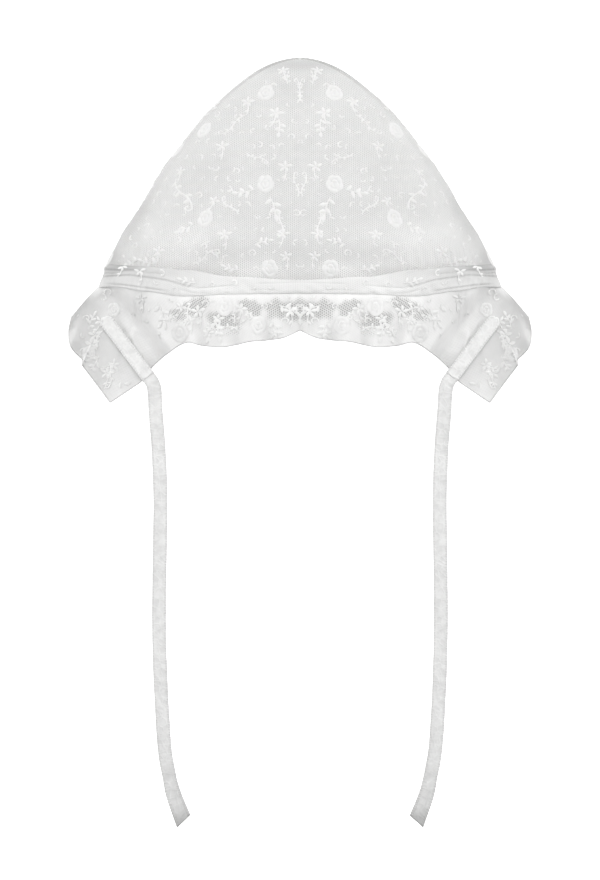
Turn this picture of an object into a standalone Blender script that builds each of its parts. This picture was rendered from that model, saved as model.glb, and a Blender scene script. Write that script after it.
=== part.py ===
"""A baby's peaked lace bonnet: a lined lace crown, a gathered band, a lace ruffle and two ties.

Lengths are in metres, angles in degrees. +Z is up, the front faces -Y and x = 0 is the middle of the
face. z = 0 is the level of the forehead, where the head goes in. An angle goes round the crown from
the middle of the front, so 90 is at an ear and 180 at the nape. Left and right are as seen from the
front.
"""

import math
from collections import namedtuple

import bmesh
import bpy
from mathutils import Vector

# Crown
CROWN_HEIGHT = 0.1232
CROWN_HALF_WIDTH = 0.1066
CROWN_FRONT_DEPTH = 0.054
CROWN_BACK_DEPTH = 0.066
WIDEST_LEVEL = 0.0088
PEAK_LEAN = 0.012
EAR_DROP = 0.054
EAR_HALF_WIDTH = 0.087
NAPE_DROP = 0.0225
NAPE_TUCK = 0.006
FRONT_RIM = 0.003
CHEEK_ANGLE = 76.0
LINING_WALL = 0.001
LACE_WALL = 0.001
LAYER_GAP = 0.0004

# How the crown rounds over from the band to the peak: below 0.5 is boxy, above it is pointed
SIDE_ROUNDING = 0.555
FRONT_ROUNDING = 0.60
BACK_ROUNDING = 0.52
EAR_ROUNDING = 2.6
NECK_ROUNDING = 1.6
LEAN_ROUNDING = 1.5

# The crown puffs out over the band and carries a few soft folds
PUFF_DEPTH = 0.0022
PUFF_HEIGHT = 0.026
FOLD_DEPTH = 0.0012
FOLD_COUNT = 7
FOLD_REACH = 0.05

# Band
BAND_THICKNESS = 0.0024
BAND_TOP = 0.0105
BAND_FALL = 0.0052
BAND_ANGLE = 78.0

# Ruffle, with the flap that it makes at each side
RUFFLE_WALL = 0.001
RUFFLE_FALL = 0.0336
RUFFLE_FLARE = 0.010
FLARE_ROUNDING = 1.6
RUFFLE_WAVE = 0.0022
RUFFLE_WAVES = 8.5
WAVE_ROUNDING = 0.8
FLAP_HALF_SPAN = 0.127
FLAP_DROP = 0.0644

# Ties
TIE_WIDTH = 0.0072
TIE_THICKNESS = 0.0012
TIE_END_WIDTH = 0.0092
TIE_CUT_SLANT = 0.002
STAY_THICKNESS = 0.001
STAY_FOOT_DROP = 0.0506
STAY_TOP_DROP = 0.0182

# The stay's top end is narrowed to this share of its width over this share of its length. The tie
# widens, and its cut end slants so that the outer corner is the lower one, over the last shares of
# its length
STAY_END_SHARE = 0.6
STAY_END_RUN_SHARE = 0.03
TIE_WIDENING_SHARE = 0.15
TIE_SLANT_SHARE = 0.1

# Play between pieces that touch
SEAM_GAP = 0.0003

# How finely the surfaces are cut up. Rows lie closer together towards the peak
FRONT_COLUMNS = 28
BACK_COLUMNS = 24
CROWN_ROWS = 9
ROW_CROWDING = 1.5
PUFF_ROWS = 2
SKIRT_ROWS = 4
BAND_STATIONS = 40
HEM_PARTS = 3
RUFFLE_ROWS = 5
STAY_STATIONS = 8
TIE_STATIONS = 36
SHARP_FOLD_ANGLE = 50.0

# The band's upper and lower edge, as shares of its half turn, BAND_TOP and BAND_FALL
BandPlace = namedtuple("BandPlace", "turn top fall")
BAND_EDGES = (
    BandPlace(turn=0.00, top=0.29, fall=0.69),
    BandPlace(turn=0.25, top=0.45, fall=0.77),
    BandPlace(turn=0.45, top=0.78, fall=1.00),
    BandPlace(turn=0.65, top=0.92, fall=0.55),
    BandPlace(turn=0.85, top=0.97, fall=0.15),
    BandPlace(turn=1.00, top=1.00, fall=0.23),
)

# The band's outer face, from its lower to its upper edge, as shares of its thickness and height: a
# rolled lower edge, a long wrinkle and a soft upper edge
BandFold = namedtuple("BandFold", "out up")
BAND_FOLDS = (
    BandFold(out=0.0, up=0.00),
    BandFold(out=0.7, up=0.00),
    BandFold(out=1.0, up=0.16),
    BandFold(out=0.9, up=0.34),
    BandFold(out=0.5, up=0.46),
    BandFold(out=0.8, up=0.66),
    BandFold(out=0.7, up=0.86),
    BandFold(out=0.4, up=1.00),
    BandFold(out=0.0, up=1.00),
)

# The ruffle's free edge over the forehead, from the middle out: where it hangs from the band, as a
# share of the band's half turn, then shares of CROWN_HALF_WIDTH, RUFFLE_FALL and the depth of the flare
HemPlace = namedtuple("HemPlace", "turn across fall forward corner")
FOREHEAD_HEM = (
    HemPlace(turn=0.000, across=0.000, fall=0.720, forward=1.00, corner=False),
    HemPlace(turn=0.062, across=0.082, fall=0.836, forward=1.00, corner=False),
    HemPlace(turn=0.125, across=0.164, fall=0.884, forward=0.99, corner=False),
    HemPlace(turn=0.188, across=0.246, fall=0.902, forward=0.98, corner=False),
    HemPlace(turn=0.254, across=0.327, fall=0.967, forward=0.96, corner=False),
    HemPlace(turn=0.324, across=0.409, fall=1.000, forward=0.93, corner=False),
    HemPlace(turn=0.396, across=0.491, fall=0.982, forward=0.88, corner=False),
    HemPlace(turn=0.473, across=0.573, fall=0.935, forward=0.81, corner=False),
)

# The flap's free edge, on round its straight cut end: shares of FLAP_HALF_SPAN and FLAP_DROP
FLAP_HEM = (
    HemPlace(turn=0.560, across=0.554, fall=0.547, forward=0.66, corner=False),
    HemPlace(turn=0.650, across=0.641, fall=0.700, forward=0.42, corner=False),
    HemPlace(turn=0.715, across=0.693, fall=0.829, forward=0.24, corner=True),
    HemPlace(turn=0.805, across=0.823, fall=1.000, forward=0.26, corner=True),
    HemPlace(turn=0.870, across=0.940, fall=0.683, forward=0.30, corner=True),
    HemPlace(turn=0.890, across=0.940, fall=0.641, forward=0.31, corner=True),
    HemPlace(turn=0.926, across=0.987, fall=0.530, forward=0.33, corner=False),
    HemPlace(turn=0.964, across=1.000, fall=0.410, forward=0.34, corner=False),
    HemPlace(turn=1.000, across=0.987, fall=0.266, forward=0.30, corner=False),
)

# Where the middle of the stay lies at its top and at its foot, as shares of FLAP_HALF_SPAN
STAY_TOP_SHARE = 0.849
STAY_FOOT_SHARE = 0.656

# The ruffle lies back against the cheek edge this far from the stay, and swings clear over the fade
STAY_PIN_REACH = 0.010
STAY_PIN_FADE = 0.010

# The middle of a tie's free stretch, measured from the foot of its stay: inwards, back and down
TIE_ROUTE = (
    (0.0003, 0.0000, 0.0005),
    (0.0020, -0.0001, 0.0030),
    (0.0032, -0.0001, 0.0074),
    (0.0039, 0.0002, 0.0198),
    (0.0054, 0.0015, 0.0396),
    (0.0063, 0.0029, 0.0682),
    (0.0058, 0.0035, 0.1012),
    (0.0055, 0.0029, 0.1342),
    (0.0060, 0.0015, 0.1584),
    (0.0072, 0.0005, 0.1848),
    (0.0086, 0.0005, 0.2046),
    (0.0108, 0.0015, 0.2178),
    (0.0133, 0.0033, 0.2294),
    (0.0188, 0.0057, 0.2448),
)

# Colours, linear
CLOTH_WHITE = (0.86, 0.86, 0.85)
NET_WHITE = (0.78, 0.78, 0.775)
COTTON_ROUGHNESS = 0.9
NET_ROUGHNESS = 0.85
RIBBON_ROUGHNESS = 0.8


def clear_scene():
    for thing in list(bpy.data.objects):
        bpy.data.objects.remove(thing, do_unlink=True)


def cloth_material(name, colour, roughness):
    material = bpy.data.materials.new(name)
    material.use_nodes = True
    shader = material.node_tree.nodes["Principled BSDF"]
    shader.inputs["Base Color"].default_value = (*colour, 1.0)
    shader.inputs["Roughness"].default_value = roughness
    shader.inputs["Metallic"].default_value = 0.0
    material.diffuse_color = (*colour, 1.0)
    return material


def add_piece(name, mesh, material):
    """Puts a mesh in the scene as one named piece, shaded smooth but for its folded edges."""
    mesh.materials.append(material)
    mesh.shade_smooth()
    mesh.set_sharp_from_angle(angle=math.radians(SHARP_FOLD_ANGLE))
    piece = bpy.data.objects.new(name, mesh)
    bpy.context.scene.collection.objects.link(piece)
    return piece


def thicken(piece, thickness, offset):
    """Gives a sheet its wall. The offset says where the wall lies: 0 about the sheet, 1 outside it."""
    wall = piece.modifiers.new("wall", "SOLIDIFY")
    wall.thickness = thickness
    wall.offset = offset
    wall.use_even_offset = False


def grid_mesh(name, rows, closed=False):
    """Joins rows of points into a sheet, each row running the same way, lowest row first."""
    mesh = bpy.data.meshes.new(name)
    form = bmesh.new()
    corners = [[form.verts.new(point) for point in row] for row in rows]
    count = len(rows[0])
    for low, high in zip(corners, corners[1:]):
        for i in range(count if closed else count - 1):
            j = (i + 1) % count
            form.faces.new((low[i], low[j], high[j], high[i]))
    form.to_mesh(mesh)
    form.free()
    return mesh


def closed_mesh(name, rings):
    """Joins rings of points into a solid, with a face over each end."""
    mesh = grid_mesh(name, rings, closed=True)
    form = bmesh.new()
    form.from_mesh(mesh)
    bmesh.ops.holes_fill(form, edges=form.edges)
    bmesh.ops.recalc_face_normals(form, faces=form.faces)
    form.to_mesh(mesh)
    form.free()
    return mesh


def ease(share):
    """A smooth step from 0 to 1."""
    share = min(max(share, 0.0), 1.0)
    return share * share * (3 - 2 * share)


def swell(height, reach):
    """Rises from 0 to 1 at half the reach and falls back to 0 at its end."""
    return ease(2 * height / reach) * ease(2 - 2 * height / reach)


def between(low, high, share):
    return low + (high - low) * share


def smooth_between(before, start, end, after, share):
    """A point on a smooth curve from start to end, with the run of their neighbours where given."""
    leave = (end - start) if before is None else (end - before) / 2
    reach = (end - start) if after is None else (after - start) / 2
    s2, s3 = share**2, share**3
    return ((2 * s3 - 3 * s2 + 1) * start + (s3 - 2 * s2 + share) * leave
            + (3 * s2 - 2 * s3) * end + (s3 - s2) * reach)


def crown_section(z):
    """Half width, front depth, back depth and middle of the crown's level section at height z."""
    if z > WIDEST_LEVEL:
        rise = (z - WIDEST_LEVEL) / (CROWN_HEIGHT - WIDEST_LEVEL)
        left = 1 - rise
        half_width = CROWN_HALF_WIDTH * left**SIDE_ROUNDING
        front = CROWN_FRONT_DEPTH * left**FRONT_ROUNDING
        back = CROWN_BACK_DEPTH * left**BACK_ROUNDING
        return half_width, front, back, PEAK_LEAN * rise**LEAN_ROUNDING
    reach = WIDEST_LEVEL + EAR_DROP
    fall = (WIDEST_LEVEL - z) / reach
    half_width = between(CROWN_HALF_WIDTH, EAR_HALF_WIDTH, fall**EAR_ROUNDING)
    widening = CROWN_BACK_DEPTH * BACK_ROUNDING / (CROWN_HEIGHT - WIDEST_LEVEL) * reach
    back = CROWN_BACK_DEPTH + widening * fall - (widening + NAPE_TUCK) * fall**2
    return half_width, CROWN_FRONT_DEPTH, back, 0.0


def crown_place(angle, z):
    """A point of the crown between its two layers, and the way out from it."""
    half_width, front, back, middle = crown_section(z)
    turn = math.radians(angle)
    depth = front if math.cos(turn) > 0 else back
    point = Vector((half_width * math.sin(turn), middle - depth * math.cos(turn), z))
    out = Vector((math.sin(turn) / half_width, -math.cos(turn) / depth, 0)).normalized()
    facing = max(0.0, math.cos(turn))
    above = z - BAND_TOP
    puff = PUFF_DEPTH * math.sqrt(facing) * swell(above, PUFF_HEIGHT)
    fold = FOLD_DEPTH * math.cos(2 * FOLD_COUNT * turn) * swell(above, FOLD_REACH)
    return point + out * (puff + fold), out


def neck_drop(angle):
    """How far the crown reaches below z = 0: deepest at the ear corner, least at the nape."""
    share = (180 - angle) / (180 - CHEEK_ANGLE)
    return NAPE_DROP + (EAR_DROP - NAPE_DROP) * share**NECK_ROUNDING


def crown_sheet():
    """The crown as one sheet, open to the front below the band and down to the neck edge behind."""
    front = [CHEEK_ANGLE * (2 * i / FRONT_COLUMNS - 1) for i in range(FRONT_COLUMNS + 1)]
    step = (360 - 2 * CHEEK_ANGLE) / BACK_COLUMNS
    back = [CHEEK_ANGLE + step * i for i in range(1, BACK_COLUMNS)]
    angles = front + back
    puffed = BAND_TOP + PUFF_HEIGHT / 2
    levels = [-FRONT_RIM, (BAND_TOP - FRONT_RIM) / 2, BAND_TOP]
    levels += [between(BAND_TOP, puffed, i / PUFF_ROWS) for i in range(1, PUFF_ROWS + 1)]
    span = CROWN_HEIGHT - puffed
    levels += [CROWN_HEIGHT - span * (1 - i / CROWN_ROWS) ** ROW_CROWDING for i in range(1, CROWN_ROWS)]

    mesh = bpy.data.meshes.new("crown_sheet")
    form = bmesh.new()
    rows = [[form.verts.new(crown_place(angle, z)[0]) for angle in angles] for z in levels]
    for low, high in zip(rows, rows[1:]):
        for i in range(len(angles)):
            j = (i + 1) % len(angles)
            form.faces.new((low[i], low[j], high[j], high[i]))
    peak = form.verts.new((0, PEAK_LEAN, CROWN_HEIGHT))
    for i in range(len(angles)):
        form.faces.new((rows[-1][i], rows[-1][(i + 1) % len(angles)], peak))

    skirt = list(range(FRONT_COLUMNS, len(angles))) + [0]
    above = [rows[0][i] for i in skirt]
    for row in range(1, SKIRT_ROWS + 1):
        below = []
        for i in skirt:
            angle = angles[i] % 360
            foot = -neck_drop(min(angle, 360 - angle))
            z = between(-FRONT_RIM, foot, row / SKIRT_ROWS)
            below.append(form.verts.new(crown_place(angle, z)[0]))
        for i in range(len(skirt) - 1):
            form.faces.new((below[i], below[i + 1], above[i + 1], above[i]))
        above = below
    form.to_mesh(mesh)
    form.free()
    return mesh


def make_crown(cloth, lace):
    """Two walls about one sheet, so that the lace lies LAYER_GAP clear of the lining all over."""
    lining = add_piece("crown_lining", crown_sheet(), cloth)
    thicken(lining, LINING_WALL, -1 - LAYER_GAP / LINING_WALL)
    cover = add_piece("crown_lace", crown_sheet(), lace)
    thicken(cover, LACE_WALL, 1 + LAYER_GAP / LACE_WALL)


def band_edge(angle, column):
    """The band's edge at an angle, as the table's share in the named column."""
    turn = abs(angle) / BAND_ANGLE
    for low, high in zip(BAND_EDGES, BAND_EDGES[1:]):
        if turn <= high.turn:
            break
    share = (turn - low.turn) / (high.turn - low.turn)
    return between(getattr(low, column), getattr(high, column), ease(share))


def band_bottom(angle):
    return -BAND_FALL * band_edge(angle, "fall")


def band_inside():
    """From the middle of the crown's two layers out to the back of the band."""
    return LAYER_GAP / 2 + LACE_WALL + LAYER_GAP / 2 + SEAM_GAP


def make_band(cloth):
    stations = []
    for i in range(BAND_STATIONS + 1):
        angle = BAND_ANGLE * (2 * i / BAND_STATIONS - 1)
        bottom = band_bottom(angle)
        top = BAND_TOP * band_edge(angle, "top")
        ring = []
        for fold in BAND_FOLDS:
            point, out = crown_place(angle, between(bottom, top, fold.up))
            ring.append(point + out * (band_inside() + BAND_THICKNESS * fold.out))
        stations.append(ring)
    add_piece("front_band", closed_mesh("front_band", stations), cloth)


def hem_points():
    """The free edge of the left half: (turn, x, y, z), y and z as sizes, and whether it is a corner."""
    depth = CROWN_FRONT_DEPTH + RUFFLE_FLARE
    points = []
    for table, span, drop in ((FOREHEAD_HEM, CROWN_HALF_WIDTH, RUFFLE_FALL),
                              (FLAP_HEM, FLAP_HALF_SPAN, FLAP_DROP)):
        for hem in table:
            point = Vector((hem.turn, span * hem.across, depth * hem.forward, drop * hem.fall))
            points.append((point, hem.corner))
    return points


def hem_stations():
    """The free edge, smooth through its points but for the corners."""
    points = hem_points()
    stations = []
    for i in range(len(points) - 1):
        (start, start_corner), (end, end_corner) = points[i], points[i + 1]
        before = points[i - 1][0] if i and not start_corner else None
        after = points[i + 2][0] if i + 2 < len(points) and not end_corner else None
        for part in range(HEM_PARTS):
            stations.append(smooth_between(before, start, end, after, part / HEM_PARTS))
    stations.append(points[-1][0])
    return stations


def stay_place(share, side):
    """The line that the stay is sewn along, from its top end to its foot, on the cheek edge."""
    x = FLAP_HALF_SPAN * between(STAY_TOP_SHARE, STAY_FOOT_SHARE, share)
    z = -between(STAY_TOP_DROP, STAY_FOOT_DROP, share)
    cheek, out = crown_place(CHEEK_ANGLE, z)
    clear = out * (band_inside() + RUFFLE_WALL / 2)
    return Vector((side * x, cheek.y + clear.y - RUFFLE_WALL, z))


def pinned(point, side):
    """Draws a point of the ruffle back to the cheek edge where the stay holds it, and says how much."""
    top, foot = stay_place(0, side), stay_place(1, side)
    run = foot - top
    share = ((point.x - top.x) * run.x + (point.z - top.z) * run.z) / (run.x**2 + run.z**2)
    nearest = stay_place(min(max(share, 0.0), 1.0), side)
    away = math.hypot(point.x - nearest.x, point.z - nearest.z)
    hold = 1 - ease((away - STAY_PIN_REACH) / STAY_PIN_FADE)
    return Vector((point.x, between(point.y, nearest.y, hold), point.z)), hold


def ruffle_point(station, run, share, side):
    """A point of the ruffle, share 0 at the band and 1 at the free edge, on one side of the face."""
    turn, x, y, z = station
    angle = BAND_ANGLE * turn
    seam, out = crown_place(angle, band_bottom(angle) - SEAM_GAP)
    seam = seam + out * (band_inside() + BAND_THICKNESS / 2)
    flare = 1 - (1 - share) ** FLARE_ROUNDING
    across = side * between(seam.x, x, share)
    point = Vector((across, between(seam.y, -y, flare), between(seam.z, -z, share)))
    point, hold = pinned(point, side) if share > 0 else (point, 0.0)
    wave = math.cos(2 * math.pi * RUFFLE_WAVES * run) * share**WAVE_ROUNDING * (1 - hold)
    return point + Vector((0, RUFFLE_WAVE * wave, 0))


def make_ruffle(lace):
    half = hem_stations()
    last = len(half) - 1
    columns = [(half[i], i / last, -1) for i in range(last, 0, -1)]
    columns += [(half[i], i / last, 1) for i in range(last + 1)]
    rows = []
    for row in range(RUFFLE_ROWS + 1):
        share = 1 - row / RUFFLE_ROWS
        rows.append([ruffle_point(station, run, share, side) for station, run, side in columns])
    ruffle = add_piece("ruffle", grid_mesh("ruffle", rows), lace)
    thicken(ruffle, RUFFLE_WALL, 0.0)


def ribbon_mesh(name, middles, widths, slants, thickness):
    """A flat ribbon facing the front. A slant moves a station's left edge along and its right edge back."""
    rings = []
    for i, middle in enumerate(middles):
        run = (middles[min(i + 1, len(middles) - 1)] - middles[max(i - 1, 0)]).normalized()
        front = (Vector((0, -1, 0)) + run * run.y).normalized()
        across = run.cross(front)
        half = across * (widths[i] / 2)
        lift = front * (thickness / 2)
        slip = run * slants[i]
        rings.append([middle - half - slip - lift, middle + half + slip - lift,
                      middle + half + slip + lift, middle - half - slip + lift])
    return closed_mesh(name, rings)


def stay_middle(share, side):
    """The middle of the stay itself, which lies on the front of the ruffle."""
    lift = RUFFLE_WALL / 2 + 2 * SEAM_GAP + STAY_THICKNESS / 2
    return stay_place(share, side) + Vector((0, -lift, 0))


def make_stay(name, side, cloth):
    """The strip sewn down the front of the flap, its top end narrowed."""
    shares = [0.0, STAY_END_RUN_SHARE] + [i / STAY_STATIONS for i in range(1, STAY_STATIONS + 1)]
    middles = [stay_middle(share, side) for share in shares]
    widths = [STAY_END_SHARE * TIE_WIDTH] + [TIE_WIDTH] * (len(shares) - 1)
    mesh = ribbon_mesh(name, middles, widths, [0.0] * len(shares), STAY_THICKNESS)
    add_piece(name, mesh, cloth)


def tie_middles(side):
    """Points on one smooth curve through the tie's route, which starts at the foot of its stay."""
    foot = stay_middle(1, side)
    route = [foot + Vector((-side * inward, back, -down)) for inward, back, down in TIE_ROUTE]
    middles = []
    for i in range(TIE_STATIONS + 1):
        place = i / TIE_STATIONS * (len(route) - 1)
        k = min(int(place), len(route) - 2)
        before = route[k - 1] if k else None
        after = route[k + 2] if k + 2 < len(route) else None
        middles.append(smooth_between(before, route[k], route[k + 1], after, place - k))
    return middles


def make_tie(name, side, cloth):
    """The hanging ribbon, a little wider at its slanting cut end."""
    middles = tie_middles(side)
    widths = []
    slants = []
    for i in range(len(middles)):
        left = 1 - i / (len(middles) - 1)
        widths.append(between(TIE_WIDTH, TIE_END_WIDTH, ease(1 - left / TIE_WIDENING_SHARE)))
        slants.append(-side * TIE_CUT_SLANT * ease(1 - left / TIE_SLANT_SHARE))
    add_piece(name, ribbon_mesh(name, middles, widths, slants, TIE_THICKNESS), cloth)


def main():
    clear_scene()
    lining = cloth_material("lining_cotton", CLOTH_WHITE, COTTON_ROUGHNESS)
    lace = cloth_material("embroidered_tulle", NET_WHITE, NET_ROUGHNESS)
    ribbon = cloth_material("tie_ribbon", CLOTH_WHITE, RIBBON_ROUGHNESS)
    make_crown(lining, lace)
    make_band(lace)
    make_ruffle(lace)
    for name, side in (("left", -1), ("right", 1)):
        make_stay("tie_stay_" + name, side, ribbon)
        make_tie("tie_" + name, side, ribbon)


main()
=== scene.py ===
# %% [markdown]
# # A baby's peaked lace bonnet
# The bonnet is a cotton crown covered with embroidered net, with a gathered band over the forehead,
# a ruffle of unlined net that fans out at each side, and two long ties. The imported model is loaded
# first, because every piece here is made over one of its solids and has to stay where it is.

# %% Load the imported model
import math

import bmesh
import bpy
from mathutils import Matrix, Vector
from mathutils.bvhtree import BVHTree


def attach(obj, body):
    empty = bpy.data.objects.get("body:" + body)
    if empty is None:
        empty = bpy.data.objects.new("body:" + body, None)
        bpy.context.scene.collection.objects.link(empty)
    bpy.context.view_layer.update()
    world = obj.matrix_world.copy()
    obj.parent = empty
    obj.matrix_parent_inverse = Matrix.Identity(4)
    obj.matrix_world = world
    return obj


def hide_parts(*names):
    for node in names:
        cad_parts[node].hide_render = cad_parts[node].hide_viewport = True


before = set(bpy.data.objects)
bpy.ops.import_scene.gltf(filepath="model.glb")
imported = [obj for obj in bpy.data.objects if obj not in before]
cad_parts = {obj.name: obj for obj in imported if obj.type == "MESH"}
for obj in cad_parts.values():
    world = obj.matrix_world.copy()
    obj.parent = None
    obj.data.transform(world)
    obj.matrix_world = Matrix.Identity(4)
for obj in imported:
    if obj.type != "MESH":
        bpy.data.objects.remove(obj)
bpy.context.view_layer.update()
print("pieces of the model:", ", ".join(sorted(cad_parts)))

# %% [markdown]
# ## The camera
# The photograph is taken from the front, three degrees above level, from far enough away that
# nothing looks bent. A long lens gives that. One pixel of the picture is 0.55 mm on the bonnet, so
# the height of the picture gives the lens for any distance.

# %% Place the camera
PICTURE = (600, 880)
PIXEL = 0.00055
CAMERA_DISTANCE = 3.0
CAMERA_RISE = math.radians(3)
PICTURE_MIDDLE = -0.0859

camera_data = bpy.data.cameras.new("camera")
camera_data.sensor_width = 36
camera_data.lens = 36 * CAMERA_DISTANCE / (PICTURE[1] * PIXEL)
camera_data.clip_end = 100
camera = bpy.data.objects.new("camera", camera_data)
bpy.context.scene.collection.objects.link(camera)
bpy.context.scene.camera = camera
back_from_target = Vector((0, -math.cos(CAMERA_RISE), math.sin(CAMERA_RISE)))
camera.location = Vector((0, 0, PICTURE_MIDDLE)) + back_from_target * CAMERA_DISTANCE
camera.rotation_euler = (math.pi / 2 - CAMERA_RISE, 0, 0)
print("lens in mm:", round(camera_data.lens, 1))

# %% Where a point shows in the picture
def picture_place(point):
    """Pixels out from the picture's middle line, and pixels down, at which a point shows."""
    from_middle = point - Vector((0, 0, PICTURE_MIDDLE))
    scale = CAMERA_DISTANCE / (CAMERA_DISTANCE - from_middle.dot(back_from_target)) / PIXEL
    height = from_middle.y * math.sin(CAMERA_RISE) + from_middle.z * math.cos(CAMERA_RISE)
    return abs(point.x) * scale, PICTURE[1] / 2 - height * scale


# Soft spots of painted shade and painted light, added to a cloth's tone
def soft_spots(point, spots):
    """Sums soft round spots: a place in the picture, half width, half height and amount each."""
    x, y = picture_place(point)
    return sum(amount * math.exp(-((x - across) / wide) ** 2 - ((y - down) / tall) ** 2)
               for across, down, wide, tall, amount in spots)


print("the origin shows at", [round(c) for c in picture_place(Vector((0, 0, 0)))])

# %% [markdown]
# ## Shared sums
# Cloth has no hard steps, so most shapes here are blends. These few sums are used all through: a
# straight blend, a smooth step, a swell that rises and falls again, and a smooth curve through
# chosen points. Sums are chosen over modelling by hand, because each can be measured and changed.

# %% Blends and curves
def between(low, high, share):
    return low + (high - low) * share


def ease(share):
    """A smooth step from 0 to 1."""
    share = min(max(share, 0.0), 1.0)
    return share * share * (3 - 2 * share)


def swell(height, reach):
    """Rises from 0 to 1 at half the reach and falls back to 0 at its end."""
    return ease(2 * height / reach) * ease(2 - 2 * height / reach)


def smooth_between(before, start, end, after, share):
    """A point on a smooth curve from start to end, with the run of their neighbours where given."""
    leave = (end - start) if before is None else (end - before) / 2
    reach = (end - start) if after is None else (after - start) / 2
    s2, s3 = share**2, share**3
    return ((2 * s3 - 3 * s2 + 1) * start + (s3 - 2 * s2 + share) * leave
            + (3 * s2 - 2 * s3) * end + (s3 - s2) * reach)


def smooth_path(route, stations):
    """Even steps along one smooth curve through all the points of a route."""
    path = []
    for i in range(stations + 1):
        place = i / stations * (len(route) - 1)
        k = min(int(place), len(route) - 2)
        before = route[k - 1] if k else None
        after = route[k + 2] if k + 2 < len(route) else None
        path.append(smooth_between(before, route[k], route[k + 1], after, place - k))
    return path


def path_length(path):
    return sum((b - a).length for a, b in zip(path, path[1:]))


print("a smooth step at a quarter, a half and three quarters:", ease(0.25), ease(0.5), ease(0.75))

# %% [markdown]
# ## The form of the crown
# The crown's level sections are two half ellipses, a shallow one in front and a deeper one behind,
# which shrink towards the peak. The sums are the same as in the model, so a sheet made from them
# lies exactly between the model's two walls. They are functions of an angle and a height, because
# the same surface is needed again for the net, the embroidery and the seams.

# %% The crown as a function
CROWN_HEIGHT = 0.1232
CROWN_HALF_WIDTH = 0.1066
CROWN_FRONT_DEPTH = 0.054
CROWN_BACK_DEPTH = 0.066
WIDEST_LEVEL = 0.0088
PEAK_LEAN = 0.012
EAR_DROP = 0.054
EAR_HALF_WIDTH = 0.087
NAPE_DROP = 0.0225
NAPE_TUCK = 0.006
FRONT_RIM = 0.003
CHEEK_ANGLE = 76.0
BAND_TOP = 0.0105


def crown_section(z):
    """Half width, front depth, back depth and middle of the crown's level section at height z."""
    if z > WIDEST_LEVEL:
        rise = min((z - WIDEST_LEVEL) / (CROWN_HEIGHT - WIDEST_LEVEL), 0.9999)
        left = 1 - rise
        return (CROWN_HALF_WIDTH * left**0.555, CROWN_FRONT_DEPTH * left**0.60,
                CROWN_BACK_DEPTH * left**0.52, PEAK_LEAN * rise**1.5)
    reach = WIDEST_LEVEL + EAR_DROP
    fall = (WIDEST_LEVEL - z) / reach
    half_width = between(CROWN_HALF_WIDTH, EAR_HALF_WIDTH, fall**2.6)
    widening = CROWN_BACK_DEPTH * 0.52 / (CROWN_HEIGHT - WIDEST_LEVEL) * reach
    back = CROWN_BACK_DEPTH + widening * fall - (widening + NAPE_TUCK) * fall**2
    return half_width, CROWN_FRONT_DEPTH, back, 0.0


def crown_place(angle, z):
    """A point of the crown between its two layers, and the way out from it."""
    half_width, front, back, middle = crown_section(z)
    turn = math.radians(angle)
    depth = front if math.cos(turn) > 0 else back
    point = Vector((half_width * math.sin(turn), middle - depth * math.cos(turn), z))
    out = Vector((math.sin(turn) / half_width, -math.cos(turn) / depth, 0)).normalized()
    facing = max(0.0, math.cos(turn))
    above = z - BAND_TOP
    puff = 0.0022 * math.sqrt(facing) * swell(above, 0.026)
    fold = 0.0012 * math.cos(14 * turn) * swell(above, 0.05)
    return point + out * (puff + fold), out


print("crown half width at the band in mm:", round(1000 * crown_section(0)[0], 1))

# %% The edges of the band
BAND_ANGLE = 78.0
BAND_FALL = 0.0052
BAND_THICKNESS = 0.0024
# How far round the band, and there how high its top and how low its bottom is, as shares
BAND_EDGES = ((0.00, 0.29, 0.69), (0.25, 0.45, 0.77), (0.45, 0.78, 1.00),
              (0.65, 0.92, 0.55), (0.85, 0.97, 0.15), (1.00, 1.00, 0.23))
# The section of the band, outwards and upwards, as shares
BAND_FOLDS = (
    (0.0, 0.0), (0.7, -0.03), (1.0, 0.15), (0.98, 0.33), (0.84, 0.52), (0.62, 0.7), (0.34, 0.88),
    (0.0, 1.05))


def band_edge(angle, column):
    turn = abs(angle) / BAND_ANGLE
    for low, high in zip(BAND_EDGES, BAND_EDGES[1:]):
        if turn <= high[0]:
            break
    share = (turn - low[0]) / (high[0] - low[0])
    return between(low[column], high[column], ease(share))


def band_bottom(angle):
    return -BAND_FALL * band_edge(angle, 2)


def end_flare(turn):
    """How far the band's lower corner and the top of the ruffle spread outwards at the ear."""
    return 0.0042 * ease((abs(turn) - 0.86) / 0.14)


cheek_height = BAND_TOP * band_edge(BAND_ANGLE, 1) - band_bottom(BAND_ANGLE)
print("height of the band at the cheek in mm:", round(1000 * cheek_height, 1))

# %% [markdown]
# ## Where the ties are sewn
# Each tie starts as a strip, called a stay here, that is stitched down the front of the flap along
# the crown's cheek edge. Its foot is where the free tie leaves the bonnet.

# %% The line of the stay
FLAP_HALF_SPAN = 0.1262
STAY_TOP_DROP = 0.0182
STAY_FOOT_DROP = 0.0506
STAY_STANDOFF = 0.0016
HALF_GAP = 0.0002
LACE_WALL = 0.001
RUFFLE_WALL = 0.001
SEAM_GAP = 0.0003
BAND_INSIDE = HALF_GAP + LACE_WALL + HALF_GAP + SEAM_GAP


def stay_place(share, side):
    """The line that the stay is sewn along, from its top end to its foot, on the cheek edge."""
    x = FLAP_HALF_SPAN * between(0.849, 0.656, share)
    z = -between(STAY_TOP_DROP, STAY_FOOT_DROP, share)
    cheek, out = crown_place(CHEEK_ANGLE, z)
    clear = out * (BAND_INSIDE + RUFFLE_WALL / 2)
    return Vector((side * x, cheek.y + clear.y - RUFFLE_WALL, z))


def stay_middle(share, side):
    """The middle of the stay itself, which lies on the front of the ruffle."""
    return stay_place(share, side) + Vector((0, -STAY_STANDOFF, 0))


print("foot of the right stay in mm:", [round(1000 * c, 1) for c in stay_middle(1, 1)])

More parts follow.
